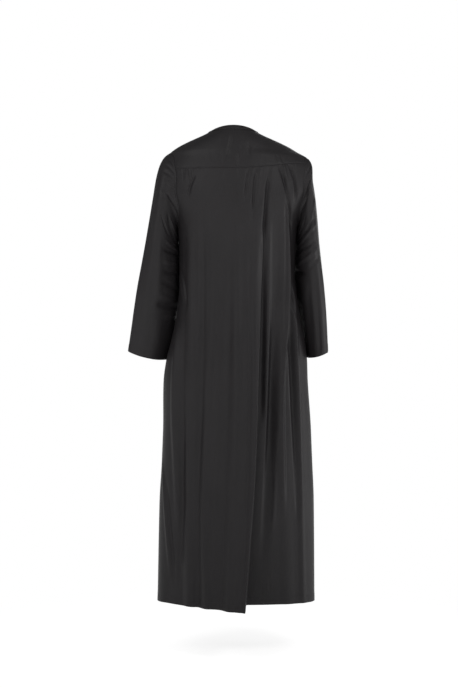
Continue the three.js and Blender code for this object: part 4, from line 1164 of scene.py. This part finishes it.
class RobeColours(PropertyGroup):
    """Colours of the cloth, the thread and the floor."""

    # The weave mixes these two as painted shade between the threads and painted light on their crowns; slubs
    # and patches mix them at random.
    cloth_dark: FloatVectorProperty(
        name="Cloth, shaded threads", description="Colour between the threads", subtype="COLOR",
        default=(0.0125, 0.0115, 0.0125), min=0, max=1,
    )
    cloth_light: FloatVectorProperty(
        name="Cloth, raised threads", description="Colour of the threads' crowns", subtype="COLOR",
        default=(0.026, 0.0235, 0.025), min=0, max=1,
    )
    thread: FloatVectorProperty(
        name="Thread", description="Colour of the sewing thread", subtype="COLOR",
        default=(0.03, 0.028, 0.03), min=0, max=1,
    )
    floor: FloatVectorProperty(
        name="Floor", description="Colour of the floor's paper", subtype="COLOR",
        default=(0.9, 0.9, 0.9), min=0, max=1,
    )


class ROBE_OT_back_yoke(Operator):
    """Build the yoke over the back of the shoulders"""

    bl_idname = "robe.back_yoke"
    bl_label = "Back yoke"

    def execute(self, context):
        yoke, _ = back_grids()
        grid = sewn(yoke, outward(yoke, 1), {"bottom": 0, "left": 1, "right": -1})
        piece = cloth_piece("back_yoke_cloth", grid, "back_yoke", context.scene.robe_sizes, flip=True)
        return {"FINISHED"}


class ROBE_OT_back_panel(Operator):
    """Build the gathered back panel below the yoke"""

    bl_idname = "robe.back_panel"
    bl_label = "Back panel"

    def execute(self, context):
        grid = back_panel_surface()
        piece = cloth_piece("back_panel_cloth", grid, "back_panel", context.scene.robe_sizes, flip=True)
        return {"FINISHED"}


class ROBE_OT_front_panel(Operator):
    """Build the front panel, slit down the chest"""

    bl_idname = "robe.front_panel"
    bl_label = "Front panel"

    def execute(self, context):
        grid, split = front_panel_surface()
        rows, columns = grid.shape[:2]
        half = columns // 2
        index = np.arange(rows * columns).reshape(rows, columns)
        beyond = index.copy()
        beyond[:split, half] = rows * columns + np.arange(split)
        faces = np.concatenate([quads(index[:, : half + 1]), quads(beyond[:, half:])])
        gap = np.zeros((split, 3))
        gap[:, 0] = SLIT_GAP
        points, slit = grid.reshape(-1, 3).copy(), grid[:split, half]
        points[index[:split, half]] = slit - gap
        points = np.concatenate([points, slit + gap])
        uv = flat_places(grid)
        uv = np.concatenate([uv.reshape(-1, 2), uv[:split, half]])
        piece = cloth_piece(
            "front_panel_cloth", grid, "front_panel", context.scene.robe_sizes,
            faces=faces, points=points, uv=uv,
        )
        return {"FINISHED"}


class ROBE_OT_front_placket(Operator):
    """Build the placket that covers the chest slit"""

    bl_idname = "robe.front_placket"
    bl_label = "Front placket"

    def execute(self, context):
        grid = placket_surface()
        piece = cloth_piece("front_placket_cloth", grid, "front_placket", context.scene.robe_sizes)
        return {"FINISHED"}


class ROBE_OT_neck_band(Operator):
    """Build the narrow band round the neckline"""

    bl_idname = "robe.neck_band"
    bl_label = "Neck band"

    def execute(self, context):
        grid = neck_band_surface()
        piece = cloth_piece("neck_band_cloth", grid, "neck_band", context.scene.robe_sizes)
        return {"FINISHED"}


class ROBE_OT_sleeves(Operator):
    """Build the two long sleeves"""

    bl_idname = "robe.sleeves"
    bl_label = "Sleeves"

    def execute(self, context):
        for which, area in (("left", 0.22), ("right", 0.2)):
            grid = sleeve_surface(which)
            piece = cloth_piece(
                f"sleeve_{which}_cloth", grid, f"sleeve_{which}", context.scene.robe_sizes,
                wrap=True, flip=which == "right", uv=sleeve_places(grid),
            )
        return {"FINISHED"}


class ROBE_OT_stitching(Operator):
    """Sew the visible rows of stitches"""

    bl_idname = "robe.stitching"
    bl_label = "Stitching"

    def execute(self, context):
        sizes = context.scene.robe_sizes
        back, (front, _) = back_panel_surface(), front_panel_surface()
        stitches("hem_stitches", [hem_line(back, 1), hem_line(front, -1)], sizes)
        cuffs = [hem_line(close_ring(sleeve_surface(w)), sign) for w, sign in (("left", -1), ("right", 1))]
        stitches("cuff_stitches", cuffs, sizes)
        yoke, _ = back_grids()
        stitches("yoke_stitches", [edge_line(yoke, 1, "bottom", YOKE_STITCH)], sizes)
        band, placket = neck_band_surface(), placket_surface()
        stitches("neck_stitches", [edge_line(band, -1, e, BAND_STITCH) for e in ("top", "bottom")], sizes)
        stitches("placket_stitches", placket_lines(placket), sizes)
        return {"FINISHED"}


class ROBE_OT_stage(Operator):
    """Set the floor, backdrop, lights and camera"""

    bl_idname = "robe.stage"
    bl_label = "Stage"

    def execute(self, context):
        build_stage(context.scene)
        return {"FINISHED"}


OPERATORS = (
    ROBE_OT_back_yoke, ROBE_OT_back_panel, ROBE_OT_front_panel, ROBE_OT_front_placket,
    ROBE_OT_neck_band, ROBE_OT_sleeves, ROBE_OT_stitching, ROBE_OT_stage,
)


class ROBE_PT_panel(Panel):
    """Lists the robe's settings and pieces"""

    bl_label = "Robe"
    bl_idname = "ROBE_PT_panel"
    bl_space_type = "VIEW_3D"
    bl_region_type = "UI"
    bl_category = "Robe"

    def draw(self, context):
        for group in (context.scene.robe_sizes, context.scene.robe_colours):
            for name in group.bl_rna.properties.keys():
                if name not in ("rna_type", "name"):
                    self.layout.prop(group, name)
        for operator in OPERATORS:
            self.layout.operator(operator.bl_idname)


CLASSES = (RobeSizes, RobeColours, *OPERATORS, ROBE_PT_panel)


def register():
    for cls in CLASSES:
        bpy.utils.register_class(cls)
    bpy.types.Scene.robe_sizes = PointerProperty(type=RobeSizes)
    bpy.types.Scene.robe_colours = PointerProperty(type=RobeColours)


def unregister():
    del bpy.types.Scene.robe_colours
    del bpy.types.Scene.robe_sizes
    for cls in reversed(CLASSES):
        bpy.utils.unregister_class(cls)


def main():
    register()
    for operator in OPERATORS:
        group, name = operator.bl_idname.split(".")
        getattr(getattr(bpy.ops, group), name)()


if __name__ == "__main__":
    main()
